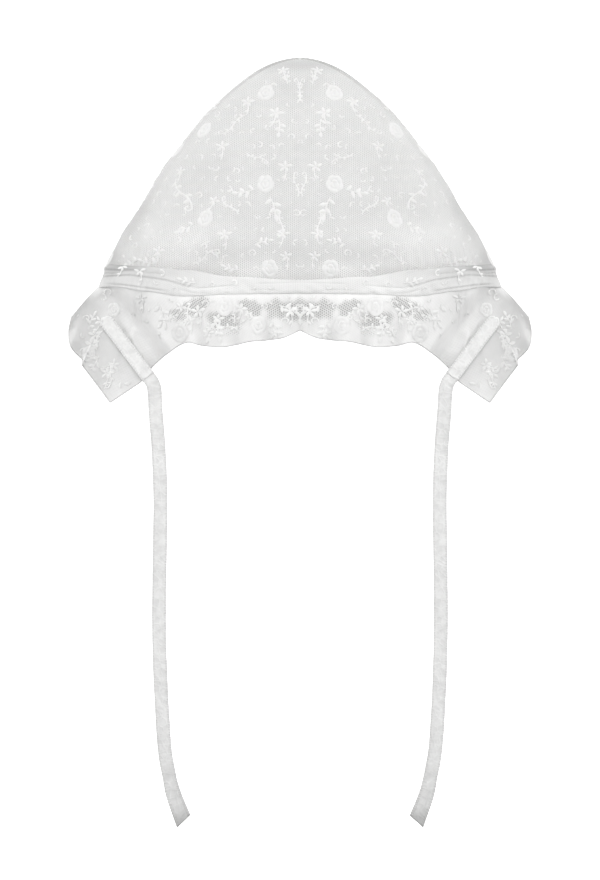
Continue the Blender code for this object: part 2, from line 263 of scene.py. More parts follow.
# %% [markdown]
# ## The ties
# A tie is a soft flat ribbon about 25 cm long. It hangs from the foot of its stay with nothing to
# hold its end, so it falls almost straight, with a slow curve inwards towards its cut end. A ribbon
# could be a flattened curve object, but a mesh lets its edges curl, its face buckle a little and
# its end be cut on a slant. The route is the model's own, point by point.

# %% The route of a tie
TIE_WIDTH = 0.0076
TIE_END_WIDTH = 0.0092
TIE_CUT_SLANT = 0.002
# From the foot of the stay: inwards, back and down, in metres
TIE_ROUTE = (
    (0.0003, 0.0000, 0.0005), (0.0020, -0.0001, 0.0030), (0.0032, -0.0001, 0.0074),
    (0.0039, 0.0002, 0.0198), (0.0054, 0.0015, 0.0396), (0.0063, 0.0029, 0.0682),
    (0.0058, 0.0035, 0.1012), (0.0055, 0.0029, 0.1342), (0.0060, 0.0015, 0.1584),
    (0.0072, 0.0005, 0.1848), (0.0086, 0.0005, 0.2046), (0.0108, 0.0015, 0.2178),
    (0.0133, 0.0033, 0.2294), (0.0188, 0.0057, 0.2448))


def tie_route(side):
    foot = stay_middle(1, side)
    return [foot + Vector((-side * inward, back, -down)) for inward, back, down in TIE_ROUTE]


print("length of a tie in mm:", round(1000 * path_length(smooth_path(tie_route(1), 200)), 1))

# %% [markdown]
# ## Sheets of cloth
# Every cloth piece is a sheet of rows of points. Each corner also keeps its place on the flat
# cloth, in metres, as a UV. The net and the weave are drawn in that flat place, so their threads
# keep their true size wherever the cloth bends. The object is at the origin, and its place is in
# its mesh.

# %% A sheet from rows of points
def new_piece(name, mesh, material):
    mesh.materials.append(material)
    mesh.shade_smooth()
    piece = bpy.data.objects.new(name, mesh)
    bpy.context.scene.collection.objects.link(piece)
    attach(piece, "root")
    return piece


def fill_sheet(form, rows, cloth_rows):
    """Adds rows of points, each a list from one side to the other, to a mesh being made."""
    flat = form.loops.layers.uv.verify()
    corners = [[form.verts.new(point) for point in row] for row in rows]
    for r in range(len(rows) - 1):
        for i in range(len(rows[0]) - 1):
            spots = ((r, i), (r, i + 1), (r + 1, i + 1), (r + 1, i))
            face = form.faces.new([corners[a][b] for a, b in spots])
            for loop, (a, b) in zip(face.loops, spots):
                loop[flat].uv = cloth_rows[a][b]


def finish_mesh(form, name):
    bmesh.ops.remove_doubles(form, verts=form.verts, dist=1e-6)
    bmesh.ops.dissolve_degenerate(form, dist=1e-7, edges=form.edges)
    mesh = bpy.data.meshes.new(name)
    form.to_mesh(mesh)
    form.free()
    return mesh


def sheet_mesh(name, rows, cloth_rows):
    form = bmesh.new()
    fill_sheet(form, rows, cloth_rows)
    return finish_mesh(form, name)


def thicken(piece, thickness):
    """Gives a sheet its wall, half of it to each side."""
    wall = piece.modifiers.new("wall", "SOLIDIFY")
    wall.thickness = thickness
    wall.offset = 0
    wall.use_even_offset = False


def store(piece, name, value_at):
    """Stores a number at each point of a piece, worked out from the point's place."""
    numbers = piece.data.attributes.new(name, "FLOAT", "POINT")
    for point, number in zip(piece.data.vertices, numbers.data):
        number.value = value_at(point.co)

# %% [markdown]
# ## Finishes
# Three cloths are seen: plain cotton for the lining, net worked with thread for the crown, band and
# ruffle, and a soft ribbon for the ties. They are all white, so what tells them apart is their
# threads. Image files could show threads, but sums in the shader stay sharp at any distance, so the
# net is made of three sets of waves that cross at sixty degrees, which leaves rows of round holes.

# %% Small helpers for shader nodes
def off_white(value):
    """White cotton, a trace warmer than grey."""
    return value, value, value - 0.005


def new_finish(name, colour, roughness):
    material = bpy.data.materials.new(name)
    material.use_nodes = True
    shader = material.node_tree.nodes["Principled BSDF"]
    shader.inputs["Base Color"].default_value = (*colour, 1)
    shader.inputs["Roughness"].default_value = roughness
    shader.inputs["Specular IOR Level"].default_value = 0.25
    return material, material.node_tree, shader


def soft_fuzz(shader, weight, roughness=0.5):
    shader.inputs["Sheen Weight"].default_value = weight
    shader.inputs["Sheen Roughness"].default_value = roughness


def flat_place(tree):
    return tree.nodes.new("ShaderNodeUVMap").outputs["UV"]


def sum_node(tree, operation, first, second=None):
    node = tree.nodes.new("ShaderNodeMath")
    node.operation = operation
    for socket, value in zip(node.inputs, (first, second)):
        if isinstance(value, (int, float)):
            socket.default_value = value
        elif value is not None:
            tree.links.new(value, socket)
    return node.outputs[0]


def added(tree, first, second):
    return sum_node(tree, "ADD", first, second)


def times(tree, first, second):
    return sum_node(tree, "MULTIPLY", first, second)


print("the whitest cloth colour:", off_white(0.93))

# %% Waves and noise over the cloth
def waves(tree, place, direction, pitch):
    """Even waves across the cloth: 1 on the crests and -1 between them."""
    along = tree.nodes.new("ShaderNodeVectorMath")
    along.operation = "DOT_PRODUCT"
    tree.links.new(place, along.inputs[0])
    turn = math.radians(direction)
    rate = 2 * math.pi / pitch
    along.inputs[1].default_value = (rate * math.cos(turn), rate * math.sin(turn), 0)
    return sum_node(tree, "COSINE", along.outputs["Value"])


def spread(tree, value, low, high, to_low, to_high):
    node = tree.nodes.new("ShaderNodeMapRange")
    node.interpolation_type = "SMOOTHSTEP"
    tree.links.new(value, node.inputs["Value"])
    ends = {"From Min": low, "From Max": high, "To Min": to_low, "To Max": to_high}
    for socket, number in ends.items():
        node.inputs[socket].default_value = number
    return node.outputs["Result"]


def cloudy(tree, place, scale, detail=3.0):
    node = tree.nodes.new("ShaderNodeTexNoise")
    node.inputs["Scale"].default_value = scale
    node.inputs["Detail"].default_value = detail
    tree.links.new(place, node.inputs["Vector"])
    return node.outputs["Fac"]


def cloth_value(tree, name):
    """A number stored at each point of the cloth."""
    node = tree.nodes.new("ShaderNodeAttribute")
    node.attribute_name = name
    return node.outputs["Fac"]


# %% Colour and raised threads
def tint(tree, shader, value, low_colour, high_colour, tone=None):
    """Varies the colour between two near shades, scaled by a stored tone if named."""
    ramp = tree.nodes.new("ShaderNodeValToRGB")
    stops = zip(ramp.color_ramp.elements, (0.3, 0.7), (low_colour, high_colour))
    for stop, position, colour in stops:
        stop.position = position
        stop.color = (*colour, 1)
    tree.links.new(value, ramp.inputs["Fac"])
    colour = ramp.outputs["Color"]
    # the stored tone holds the cloth's own tone along with painted shade and painted light
    if tone:
        scale = tree.nodes.new("ShaderNodeVectorMath")
        scale.operation = "SCALE"
        tree.links.new(colour, scale.inputs[0])
        tree.links.new(cloth_value(tree, tone), scale.inputs["Scale"])
        colour = scale.outputs["Vector"]
    tree.links.new(colour, shader.inputs["Base Color"])


def raise_threads(tree, shader, height, depth, strength=1.0):
    bump = tree.nodes.new("ShaderNodeBump")
    bump.inputs["Distance"].default_value = depth
    bump.inputs["Strength"].default_value = strength
    tree.links.new(height, bump.inputs["Height"])
    tree.links.new(bump.outputs["Normal"], shader.inputs["Normal"])


# %% The nets
CROWN_MESH = 0.0012
RUFFLE_MESH = 0.0013


def net_height(tree, place, hole_pitch):
    """Three crossing sets of waves: 3 in the middle of a hole, -1.5 where threads meet."""
    pitch = hole_pitch * math.sqrt(3) / 2
    first, second, third = (waves(tree, place, direction, pitch) for direction in (0, 60, 120))
    return added(tree, added(tree, first, second), third)


def net_finish(name, colour_low, colour_high, hole_edge, hole_pitch):
    """Net of thread. hole_edge says how wide its holes are, and "fill" how far fuzz closes them."""
    material, tree, shader = new_finish(name, colour_high, 0.8)
    place = flat_place(tree)
    height = net_height(tree, place, hole_pitch)
    holes = spread(tree, height, hole_edge - 0.5, hole_edge + 0.5, 1.0, 0.0)
    fill = cloth_value(tree, "fill")
    tree.links.new(sum_node(tree, "MAXIMUM", holes, fill), shader.inputs["Alpha"])
    threads = spread(tree, height, -1.5, hole_edge + 0.5, 1.0, 0.0)
    threads = times(tree, threads, sum_node(tree, "SUBTRACT", 1.0, fill))
    raise_threads(tree, shader, threads, 0.0002, 0.8)
    blotches = times(tree, added(tree, cloudy(tree, place, 55), cloudy(tree, place, 260)), 0.5)
    tint(tree, shader, blotches, colour_low, colour_high, "tone")
    soft_fuzz(shader, 0.15)
    return material


crown_net = net_finish("crown_net", off_white(0.78), off_white(0.85), 1.3, CROWN_MESH)
ruffle_net = net_finish("ruffle_net", off_white(0.78), off_white(0.85), 0.6, RUFFLE_MESH)
print("net finishes:", crown_net.name, ruffle_net.name)

# %% The woven cloths
THREAD_PITCH = 0.0005
STITCH_PITCH = 0.0014
TIE_HEM = (0.0027, 0.0031)


def cotton_finish():
    """Plain weave: warp and weft threads that pass over and under each other."""
    material, tree, shader = new_finish("lining_cotton_finish", off_white(0.79), 0.9)
    place = flat_place(tree)
    woven = times(tree, waves(tree, place, 0, THREAD_PITCH), waves(tree, place, 90, THREAD_PITCH))
    slub = times(tree, cloudy(tree, place, 700, 2.0), 1.5)
    raise_threads(tree, shader, added(tree, woven, slub), 0.00008, 0.5)
    tint(tree, shader, cloudy(tree, place, 120), off_white(0.73), off_white(0.79))
    soft_fuzz(shader, 0.2, 0.4)
    return material


lining_cotton = cotton_finish()


def tie_finish():
    """A ribbon of net and cotton: faint worked cells down its middle and darker stitched edges."""
    material, tree, shader = new_finish("tie_ribbon_finish", off_white(0.82), 0.75)
    place = flat_place(tree)
    sides = tree.nodes.new("ShaderNodeSeparateXYZ")
    tree.links.new(place, sides.inputs["Vector"])
    from_middle = sum_node(tree, "ABSOLUTE", sides.outputs["X"])
    cells = tree.nodes.new("ShaderNodeTexVoronoi")
    cells.feature = "DISTANCE_TO_EDGE"
    cells.inputs["Scale"].default_value = 270
    tree.links.new(place, cells.inputs["Vector"])
    drawn = spread(tree, cells.outputs["Distance"], 0.02, 0.16, 1.0, 0.0)
    stitches = waves(tree, place, 90, STITCH_PITCH)
    hem = spread(tree, from_middle, *TIE_HEM, 0.0, 1.0)
    raise_threads(tree, shader, added(tree, drawn, times(tree, stitches, hem)), 0.00012, 0.7)
    shade = added(tree, times(tree, cloudy(tree, place, 240), 0.95), times(tree, drawn, 0.1))
    between_stitches = spread(tree, stitches, -1.0, 1.0, 0.08, 0.32)
    shade = sum_node(tree, "SUBTRACT", shade, times(tree, hem, between_stitches))
    tint(tree, shader, shade, off_white(0.74), off_white(0.87), "tone")
    soft_fuzz(shader, 0.15)
    return material


tie_ribbon = tie_finish()


def covered_finish():
    """Cotton with net drawn tight over it, which shows as a fine raised pattern."""
    material, tree, shader = new_finish("covered_cloth", off_white(0.83), 0.85)
    place = flat_place(tree)
    height = net_height(tree, place, CROWN_MESH)
    raise_threads(tree, shader, spread(tree, height, -1.5, 1.6, 1.0, 0.0), 0.0001, 0.5)
    drawn = spread(tree, height, -0.5, 2.0, 0.45, 0.1)
    shade = added(tree, drawn, times(tree, cloudy(tree, place, 90), 0.5))
    tint(tree, shader, shade, off_white(0.76), off_white(0.85), "tone")
    soft_fuzz(shader, 0.15)
    return material


covered_cloth = covered_finish()
print("woven finishes:", lining_cotton.name, tie_ribbon.name, covered_cloth.name)

# %% [markdown]
# ## The ties and stays in cloth
# The ribbon is drawn across its route from a row of points, with a raised stitched edge at each
# side, and it buckles very slightly along its length as thin cloth does. Its end is wider and cut
# on a slant. The stay is the same ribbon, sewn flat, so the two are cut from one run of rows and
# meet exactly.

# %% Rows across a ribbon
# Shares of the width, closer together near the stitched edges
RIBBON_POINTS = (-0.5, -0.48, -0.45, -0.41, -0.36, -0.2, 0.0, 0.2, 0.36, 0.41, 0.45, 0.48, 0.5)


def tie_rise(share, across):
    """How far the ribbon's face stands out: stitched edges, and a buckle where it hangs free."""
    edge = 0.0002 * math.exp(-((abs(across) - 0.9) / 0.12) ** 2)
    buckle = 0.0005 * math.sin(share * 27) * across
    buckle += 0.0002 * math.sin(share * 83) * (1 - across**2)
    return edge + buckle * ease((share - 0.2) * 8)


def ribbon_ways(path, i):
    """At one point of a path: the way along it, the way to the front and the way across."""
    run = (path[min(i + 1, len(path) - 1)] - path[max(i - 1, 0)]).normalized()
    front = (Vector((0, -1, 0)) + run * run.y).normalized()
    return run, front, run.cross(front)


def ribbon_rows(path, widths, slants):
    """Rows across a ribbon that faces the front, and their places on the flat cloth."""
    rows, cloth = [], []
    gone = 0.0
    for i, middle in enumerate(path):
        run, front, across = ribbon_ways(path, i)
        if i:
            gone += (middle - path[i - 1]).length
        row, flat = [], []
        for share in RIBBON_POINTS:
            raised = front * tie_rise(i / (len(path) - 1), 2 * share)
            slip = run * (slants[i] * 2 * share)
            row.append(middle + across * (widths[i] * share) + slip + raised)
            flat.append((widths[i] * share, gone))
        rows.append(row)
        cloth.append(flat)
    return rows, cloth


print("points across a ribbon:", len(RIBBON_POINTS))

# %% Make the ribbons
SIDES = (("left", -1), ("right", 1))
RIBBON_WALL = 0.0008
STAY_STATIONS = 40
TIE_STATIONS = 160


def ribbon_tone(end):
    """The stay is the lightest, the tie gets darker downwards, and its end is the darkest."""
    def tone(point):
        hanging = 0.125 * ease((-0.04 - point.z) / 0.17)
        sewn = 0.08 * ease((point.z + 0.056) / 0.008)
        return (1.06 + sewn - hanging) * between(0.70, 1.0, ease((point.z - end) / 0.012))
    return tone


def ribbon_piece(node, ending, rows, cloth, end):
    piece = new_piece(node + ending, sheet_mesh(node, rows, cloth), tie_ribbon)
    thicken(piece, RIBBON_WALL)
    store(piece, "tone", ribbon_tone(end))
    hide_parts(node)
    return piece


def make_ribbons(name, side):
    """The stay and the tie are one length of ribbon, so both come from one set of rows."""
    stay_path = [stay_middle(i / STAY_STATIONS, side) for i in range(STAY_STATIONS)]
    tie_path = smooth_path([stay_middle(1, side)] + tie_route(side)[1:], TIE_STATIONS)
    # the stay's top end is rounded, and the tie's end is wider and cut on a slant
    widths = [TIE_WIDTH * math.sqrt(1 - 0.9 * (1 - min(i / 4, 1)) ** 2)
              for i in range(STAY_STATIONS)]
    slants = [0.0] * STAY_STATIONS
    for i in range(TIE_STATIONS + 1):
        left = 1 - i / TIE_STATIONS
        widths.append(between(TIE_WIDTH, TIE_END_WIDTH, ease(1 - left / 0.15)))
        slants.append(-side * TIE_CUT_SLANT * ease(1 - left / 0.1))
    rows, cloth = ribbon_rows(stay_path + tie_path, widths, slants)
    end, foot = tie_path[-1].z, STAY_STATIONS
    ribbon_piece("tie_stay_" + name, "_strip", rows[:foot + 1], cloth[:foot + 1], end)
    tie = ribbon_piece("tie_" + name, "_ribbon", rows[foot:], cloth[foot:], end)
    length = path_length(tie_path)
    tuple(tie_path[0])
    print("tie", name, "length in mm:", round(1000 * length, 1))


for name, side in SIDES:
    make_ribbons(name, side)

# %% [markdown]
# ## The lining
# Inside is a plain cotton cap that gives the bonnet its form. It is sewn from flat cloth, so its
# threads run level round the head, with one seam from the peak down the back. It is made as one
# sheet round the crown's own surface and given a wall, which leaves the hollow for the head open.

# %% Rows of the crown
def neck_drop(angle):
    """How far the crown reaches below z = 0: deepest at the ear corner, least at the nape."""
    share = (180 - angle) / (180 - CHEEK_ANGLE)
    return NAPE_DROP + (EAR_DROP - NAPE_DROP) * share**1.6


def crown_levels(rows):
    """Heights from the front rim up to the peak, closer together near the peak."""
    return [between(-FRONT_RIM, CROWN_HEIGHT, 1 - (1 - i / rows) ** 1.5) for i in range(rows + 1)]


def crown_sheets(place, columns, rows, skirt_rows):
    """The rows of the upper crown, then of its skirt round the back, each with its flat places."""
    angles = [between(-180, 180, i / columns) for i in range(columns + 1)]
    upper, upper_flat = [], []
    for z in crown_levels(rows):
        row = [place(angle, z) for angle in angles]
        upper.append(row)
        upper_flat.append(level_flat(row, z))
    sheets = [(upper, upper_flat)]
    count = int(columns * (180 - CHEEK_ANGLE) / 360)
    start = arc_to(CHEEK_ANGLE)
    for side in (-1, 1):
        spans = [side * between(CHEEK_ANGLE, 180, i / count) for i in range(count + 1)]
        if side < 0:
            spans.reverse()
        skirt, skirt_flat = [], []
        for r in range(skirt_rows + 1):
            down = 1 - r / skirt_rows
            heights = [between(-FRONT_RIM, -neck_drop(abs(angle)), down) for angle in spans]
            row = [place(angle, z) for angle, z in zip(spans, heights)]
            skirt.append(row)
            steps = running_lengths(row)
            shift = start if side > 0 else -start - steps[-1]
            skirt_flat.append([(u + shift, z) for u, z in zip(steps, heights)])
        sheets.append((skirt, skirt_flat))
    return sheets


def running_lengths(row):
    steps = [0.0]
    for a, b in zip(row, row[1:]):
        steps.append(steps[-1] + (b - a).length)
    return steps


def level_flat(row, z):
    """Flat places of one level row, measured from the middle of the face both ways."""
    steps = running_lengths(row)
    middle = steps[len(steps) // 2]
    return [(u - middle, z) for u in steps]


def arc_to(angle):
    """Length round the front rim from the middle of the face to an angle."""
    return path_length([crown_place(angle * i / 60, -FRONT_RIM)[0] for i in range(61)])


def crown_piece(name, place, counts, material):
    form = bmesh.new()
    for points, flat in crown_sheets(place, *counts):
        fill_sheet(form, points, flat)
    return new_piece(name, finish_mesh(form, name), material)


print("half way round the front rim in mm:", round(1000 * arc_to(90), 1))

# %% Make the lining
# Columns round the crown, rows up to its peak, and rows down its skirt
LINING_COUNTS = (240, 44, 14)
LINING_WALL = 0.0009
LINING_INSET = 0.0007


def soft_dent(angle, z):
    """Faint dents of lining and net, a hollow over the forehead and a fold at each cheek."""
    turn = math.radians(angle)
    dent = 0.0008 * math.sin(3 * turn + 70 * z) * math.sin(5 * turn - 95 * z + 0.7)
    hollow = 0.0012 * math.exp(-(turn / 0.32) ** 2 - ((z - 0.022) / 0.02) ** 2)
    side_fold = 0.0014 * math.exp(-((abs(turn) - 1.12) / 0.13) ** 2 - ((z - 0.040) / 0.026) ** 2)
    return dent * ease((z - BAND_TOP) / 0.02) * ease((CROWN_HEIGHT - z) / 0.03) - hollow - side_fold


def lining_place(angle, z):
    point, out = crown_place(angle, z)
    return point + out * (soft_dent(angle, z) - LINING_INSET)


lining = crown_piece("crown_lining_cloth", lining_place, LINING_COUNTS, lining_cotton)
thicken(lining, LINING_WALL)
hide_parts("crown_lining")
print("lining faces:", len(lining.data.polygons))

# %% [markdown]
# ## The net over the crown
# Embroidered net lies loose over the cotton. It follows the crown but isn't tight: it puckers
# where it is gathered into the band, and lies in faint soft dents higher up. The
# dents are sums of slow waves, so the surface is the same each time it is made.

# %% Make the crown's net
NET_COUNTS = (420, 64, 26)
NET_STANDOFF = 0.0008


def net_place(angle, z):
    """A point of the net over the crown and the way out from it."""
    point, out = crown_place(angle, z)
    turn = math.radians(angle)
    if abs(angle) < BAND_ANGLE:
        above = z - BAND_TOP * band_edge(angle, 1)
        side = ease((abs(angle) - 12) / 22) * ease((BAND_ANGLE - abs(angle)) / 8)
    else:
        above, side = z - BAND_TOP, 0.0
    overhang = 0.0013 * side * ease(above / 0.0035) * ease(2 - above / 0.012)
    facing = max(0.0, math.cos(turn))
    pucker = (math.sin(97 * turn) + 0.6 * math.sin(151 * turn + 1.3)) * 0.00026
    pucker *= facing**0.3 * (0.35 + 0.65 * side) * swell(above + 0.002, 0.016)
    # over the peak the net stands off the cotton
    point.z += 0.0009 * ease((z - 0.100) / 0.02)
    peak = 0.0004 * ease((z - 0.108) / 0.01)
    return point + out * (pucker + overhang + soft_dent(angle, z) + peak), out


def crown_cover(angle, z):
    point, out = net_place(angle, z)
    return point + out * NET_STANDOFF


cover = crown_piece("crown_net_cover", crown_cover, NET_COUNTS, crown_net)
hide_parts("crown_lace")
print("net faces:", len(cover.data.polygons))

# %% Greyer net on the crown, and its painted shade and painted light
# Spots of painted shade and painted light, each set after comparing a render with the photograph:
# pixels out and down, half width, half height, and how much lighter
CROWN_PAINTED_SHADING = (
    (158, 208, 8, 14, -0.08), (176, 222, 6, 10, -0.08), (190, 256, 8, 6, -0.08),
    (48, 273, 30, 5, 0.16), (165, 234, 9, 16, -0.1), (126, 246, 42, 18, 0.09),
    (0, 242, 42, 20, -0.02), (90, 264, 60, 7, 0.05), (0, 84, 34, 16, -0.045),
    (186, 262, 14, 7, -0.08), (90, 170, 26, 10, -0.02), (0, 272, 30, 7, 0.03))


def crown_tone(point):
    """Darker along the peak and sides: greyer net hanging free of the cotton, and painted shade."""
    across = abs(point.x) / crown_section(max(point.z, 0.0))[0]
    depth = between(0.13, 0.06, ease(point.z / 0.09)) + 0.17 * ease((point.z - 0.095) / 0.02)
    side = depth * ease((across - 0.92) / 0.06)
    peak = 0.17 * ease((point.z - 0.1145) / 0.006)
    # painted shade and painted light from the spots, on the front half only
    shades = soft_spots(point, CROWN_PAINTED_SHADING) if point.y < 0.01 else 0.0
    return 1 - peak - side * ease((point.z + 0.02) / 0.02) + shades


store(cover, "fill", lambda point: 0.0)
store(cover, "tone", crown_tone)
print("soft shades on the crown:", len(CROWN_PAINTED_SHADING))

# %% [markdown]
# ## The gathered band
# The band is a fold of the same cloth that hides the seam between crown and ruffle. It is gathered,
# so it has long level wrinkles and a rolled lower edge that catches the light. It is made as a
# closed loop of points swept from cheek to cheek, pushed in and out by waves that run along it.

# %% The band's wrinkles
# The furrows between them, each a line of places in the picture, with its half width and depth.
# One that starts at FURROW_END or ends at the middle line runs on, and the others fade out.
FURROW_END = 200
FURROW_FADE = 12
FURROWS = (
    (((200, 277), (185, 276), (170, 275.5), (154, 277.5), (134, 280.5), (113, 286.5), (102, 287)),
     1.0, 0.0007),
    (((112, 288.5), (95, 288), (72, 286), (60, 285)), 0.9, 0.0003),
    (((50, 284), (36, 283.5), (22, 283), (0, 282)), 0.8, 0.0004),
    (((200, 269), (182, 270.5), (168, 270), (150, 272)), 1.1, 0.0008),
    (((200, 264), (180, 265), (160, 266.5)), 0.9, 0.0008),
    (((200, 273), (188, 273.5), (174, 272.5)), 0.7, 0.0006),
    (((160, 273), (145, 273), (130, 276)), 0.8, 0.0005),
    (((132, 270), (116, 271), (100, 275)), 0.8, 0.0003),
    (((126, 288), (108, 293), (84, 294)), 1.0, 0.0003),
    (((196, 284), (176, 285.5), (150, 289), (130, 292)), 1.1, 0.0005),
    (((60, 291), (36, 290), (14, 291)), 0.9, 0.0002))


def band_furrow(point):
    """How deep a point of the band lies in the furrows."""
    x, y = picture_place(point)
    depth = 0.0
    for line, wide, deep in FURROWS:
        for (x1, y1), (x2, y2) in zip(line, line[1:]):
            if x2 <= x <= x1:
                off = y - between(y1, y2, (x1 - x) / (x1 - x2))
                first, last = line[0][0], line[-1][0]
                ends = ease((first - x) / FURROW_FADE) if first < FURROW_END else 1.0
                ends *= ease((x - last) / FURROW_FADE) if last > 0 else 1.0
                depth += deep * ends * math.exp(-(off / wide) ** 2)
    return depth


def band_gather(turn, up):
    """The small crosswise gathers of the band."""
    coarse = math.sin(66 * turn + 7 * up) * (0.5 + 0.5 * math.sin(19 * turn))
    return 0.00016 * coarse + 0.0001 * math.sin(141 * turn - 5 * up)


print("furrows in half of the band:", len(FURROWS))

# %% Make the band
BAND_COLUMNS = 460
BAND_ROUND = 48
BAND_TONE = 0.90
# How much the furrows are darkened per metre of depth, as painted shade
FURROW_PAINTED_SHADE = 150
# Painted shade and painted light on the band, set in the same way as those of the crown
BAND_PAINTED_SHADING = (
    (174, 267, 24, 4, -0.24), (193, 277, 9, 9, -0.1), (135, 271, 20, 5, -0.06),
    (45, 275, 30, 3, 0.12), (66, 293, 84, 3.5, 0.12), (182, 289, 20, 2.5, -0.06),
    (190, 269, 22, 8, -0.2), (155, 275, 20, 8, -0.1), (108, 272, 30, 5, -0.04),
    (160, 287, 24, 4, 0.05), (80, 289, 24, 6, 0.08), (104, 292, 30, 5, 0.04),
    (0, 291, 90, 5, 0.02))


def make_band():
    folds = smooth_path([Vector((out, up, 0)) for out, up in BAND_FOLDS], BAND_ROUND)
    rows, cloth = [], []
    for i in range(BAND_COLUMNS + 1):
        angle = BAND_ANGLE * (2 * i / BAND_COLUMNS - 1)
        turn = math.radians(angle)
        bottom, top = band_bottom(angle), BAND_TOP * band_edge(angle, 1)
        end = ease((BAND_ANGLE - abs(angle)) / 5)
        row, flat, gone = [], [], 0.0
        for k, fold in enumerate(folds):
            free = max(0.0, fold.x) * between(0.35, 1.0, end)
            point, out = crown_place(angle, between(bottom, top, fold.y))
            flare = end_flare(angle / BAND_ANGLE) * max(0.0, 1 - fold.y) ** 1.4
            face = point + out * (BAND_INSIDE + flare + BAND_THICKNESS * free)
            row.append(face + out * free * (band_gather(turn, fold.y) - band_furrow(face)))
            if k:
                gone += (row[-1] - row[-2]).length
            flat.append((turn * 0.09, gone))
        rows.append(row + [row[0]])
        cloth.append(flat + [(turn * 0.09, gone + 0.004)])
    form = bmesh.new()
    fill_sheet(form, rows, cloth)
    bmesh.ops.remove_doubles(form, verts=form.verts, dist=1e-7)
    bmesh.ops.holes_fill(form, edges=form.edges)
    bmesh.ops.recalc_face_normals(form, faces=form.faces)
    mesh = finish_mesh(form, "front_band_casing")
    band = new_piece("front_band_casing", mesh, covered_cloth)
    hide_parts("front_band")
    # painted shade in the furrows, and the spots of painted shade and painted light
    store(band, "tone", lambda point: BAND_TONE - FURROW_PAINTED_SHADE * band_furrow(point)
          + soft_spots(point, BAND_PAINTED_SHADING))
    return band


band = make_band()
print("band faces:", len(band.data.polygons))

# %% [markdown]
# ## The ruffle
# Under the band hangs one sheet of net with nothing behind it. Over the forehead it falls in small
# folds, and at each side it fans out into a flap with a straight cut end, held back by the stay.
# Its outline is read from the photograph, so its lower edge is a list of places joined
# by a smooth curve, with sharp corners where the cloth is cut.

# %% The ruffle's outline
# The free edge: how far round the band, then across, down and forward as shares, and 1 at a corner
RUFFLE_FALL = 0.0324
RUFFLE_FORWARD = 0.064
FLAP_DROP = 0.0644
FOREHEAD_HEM = (
    (0.0, 0.0, 0.72, 1.0, 0), (0.062, 0.082, 0.836, 1.0, 0), (0.125, 0.164, 0.884, 0.99, 0),
    (0.188, 0.246, 0.902, 0.98, 0), (0.254, 0.327, 0.967, 0.96, 0), (0.324, 0.409, 1.0, 0.93, 0),
    (0.396, 0.491, 0.982, 0.88, 0), (0.473, 0.573, 0.935, 0.81, 0))
FLAP_HEM = (
    (0.56, 0.554, 0.547, 0.66, 0), (0.65, 0.641, 0.7, 0.42, 0), (0.715, 0.693, 0.829, 0.24, 1),
    (0.805, 0.823, 1.0, 0.26, 1), (0.87, 0.94, 0.683, 0.3, 1), (0.89, 0.94, 0.641, 0.31, 1),
    (0.926, 0.987, 0.53, 0.33, 0), (0.964, 1.0, 0.41, 0.34, 0), (1.0, 0.987, 0.266, 0.3, 0))


def hem_stations(parts):
    """The free edge of one half, smooth but for the corners: (turn, x, y, z), y and z as sizes."""
    points = []
    for table, span, drop in ((FOREHEAD_HEM, CROWN_HALF_WIDTH, RUFFLE_FALL),
                              (FLAP_HEM, FLAP_HALF_SPAN, FLAP_DROP)):
        for turn, across, fall, forward, corner in table:
            place = Vector((turn, span * across, RUFFLE_FORWARD * forward, drop * fall))
            points.append((place, corner))
    stations = []
    for i in range(len(points) - 1):
        (start, start_corner), (end, end_corner) = points[i], points[i + 1]
        before = points[i - 1][0] if i and not start_corner else None
        after = points[i + 2][0] if i + 2 < len(points) and not end_corner else None
        for part in range(parts):
            stations.append(smooth_between(before, start, end, after, part / parts))
    return stations + [points[-1][0]]


def pinned(point, side):
    """Draws a point back to the cheek edge where the stay holds the ruffle, and says how much."""
    top, foot = stay_place(0, side), stay_place(1, side)
    run = foot - top
    share = ((point.x - top.x) * run.x + (point.z - top.z) * run.z) / (run.x**2 + run.z**2)
    nearest = stay_place(min(max(share, 0.0), 1.0), side)
    away = math.hypot(point.x - nearest.x, point.z - nearest.z)
    hold = 1 - ease((away - 0.010) / 0.010)
    return Vector((point.x, between(point.y, nearest.y, hold), point.z)), hold


print("points of the free edge of one half:", len(FOREHEAD_HEM) + len(FLAP_HEM))

# %% The ruffle's folds
# Lines where the cloth folds over itself beside the stay, x and z in metres, and each fold's depth
FOLD_LINES = (((0.0995, -0.0187), (0.0935, -0.0285), (0.0880, -0.0370), (0.0845, -0.0440)),
              ((0.0913, -0.0225), (0.0922, -0.0290), (0.0905, -0.0350), (0.0875, -0.0405)))
FOLD_DEPTHS = (0.0009, 0.0012)
FOLD_FADE = 0.004


def fold_step(x, z):
    """How far the cloth steps back as it passes a fold line from the middle outwards."""
    step = 0.0
    for line, depth in zip(FOLD_LINES, FOLD_DEPTHS):
        low, high = line[-1][1], line[0][1]
        if not low < z < high:
            continue
        for (x1, z1), (x2, z2) in zip(line, line[1:]):
            if z2 <= z <= z1:
                edge = between(x1, x2, (z1 - z) / (z1 - z2))
                fade = ease((high - z) / FOLD_FADE) * ease((z - low) / FOLD_FADE)
                near = math.exp(-max(0.0, edge - x) / FOLD_FADE)
                step += depth * fade * near * (1 - ease((x - edge) / 0.0008 + 0.5))
    return step


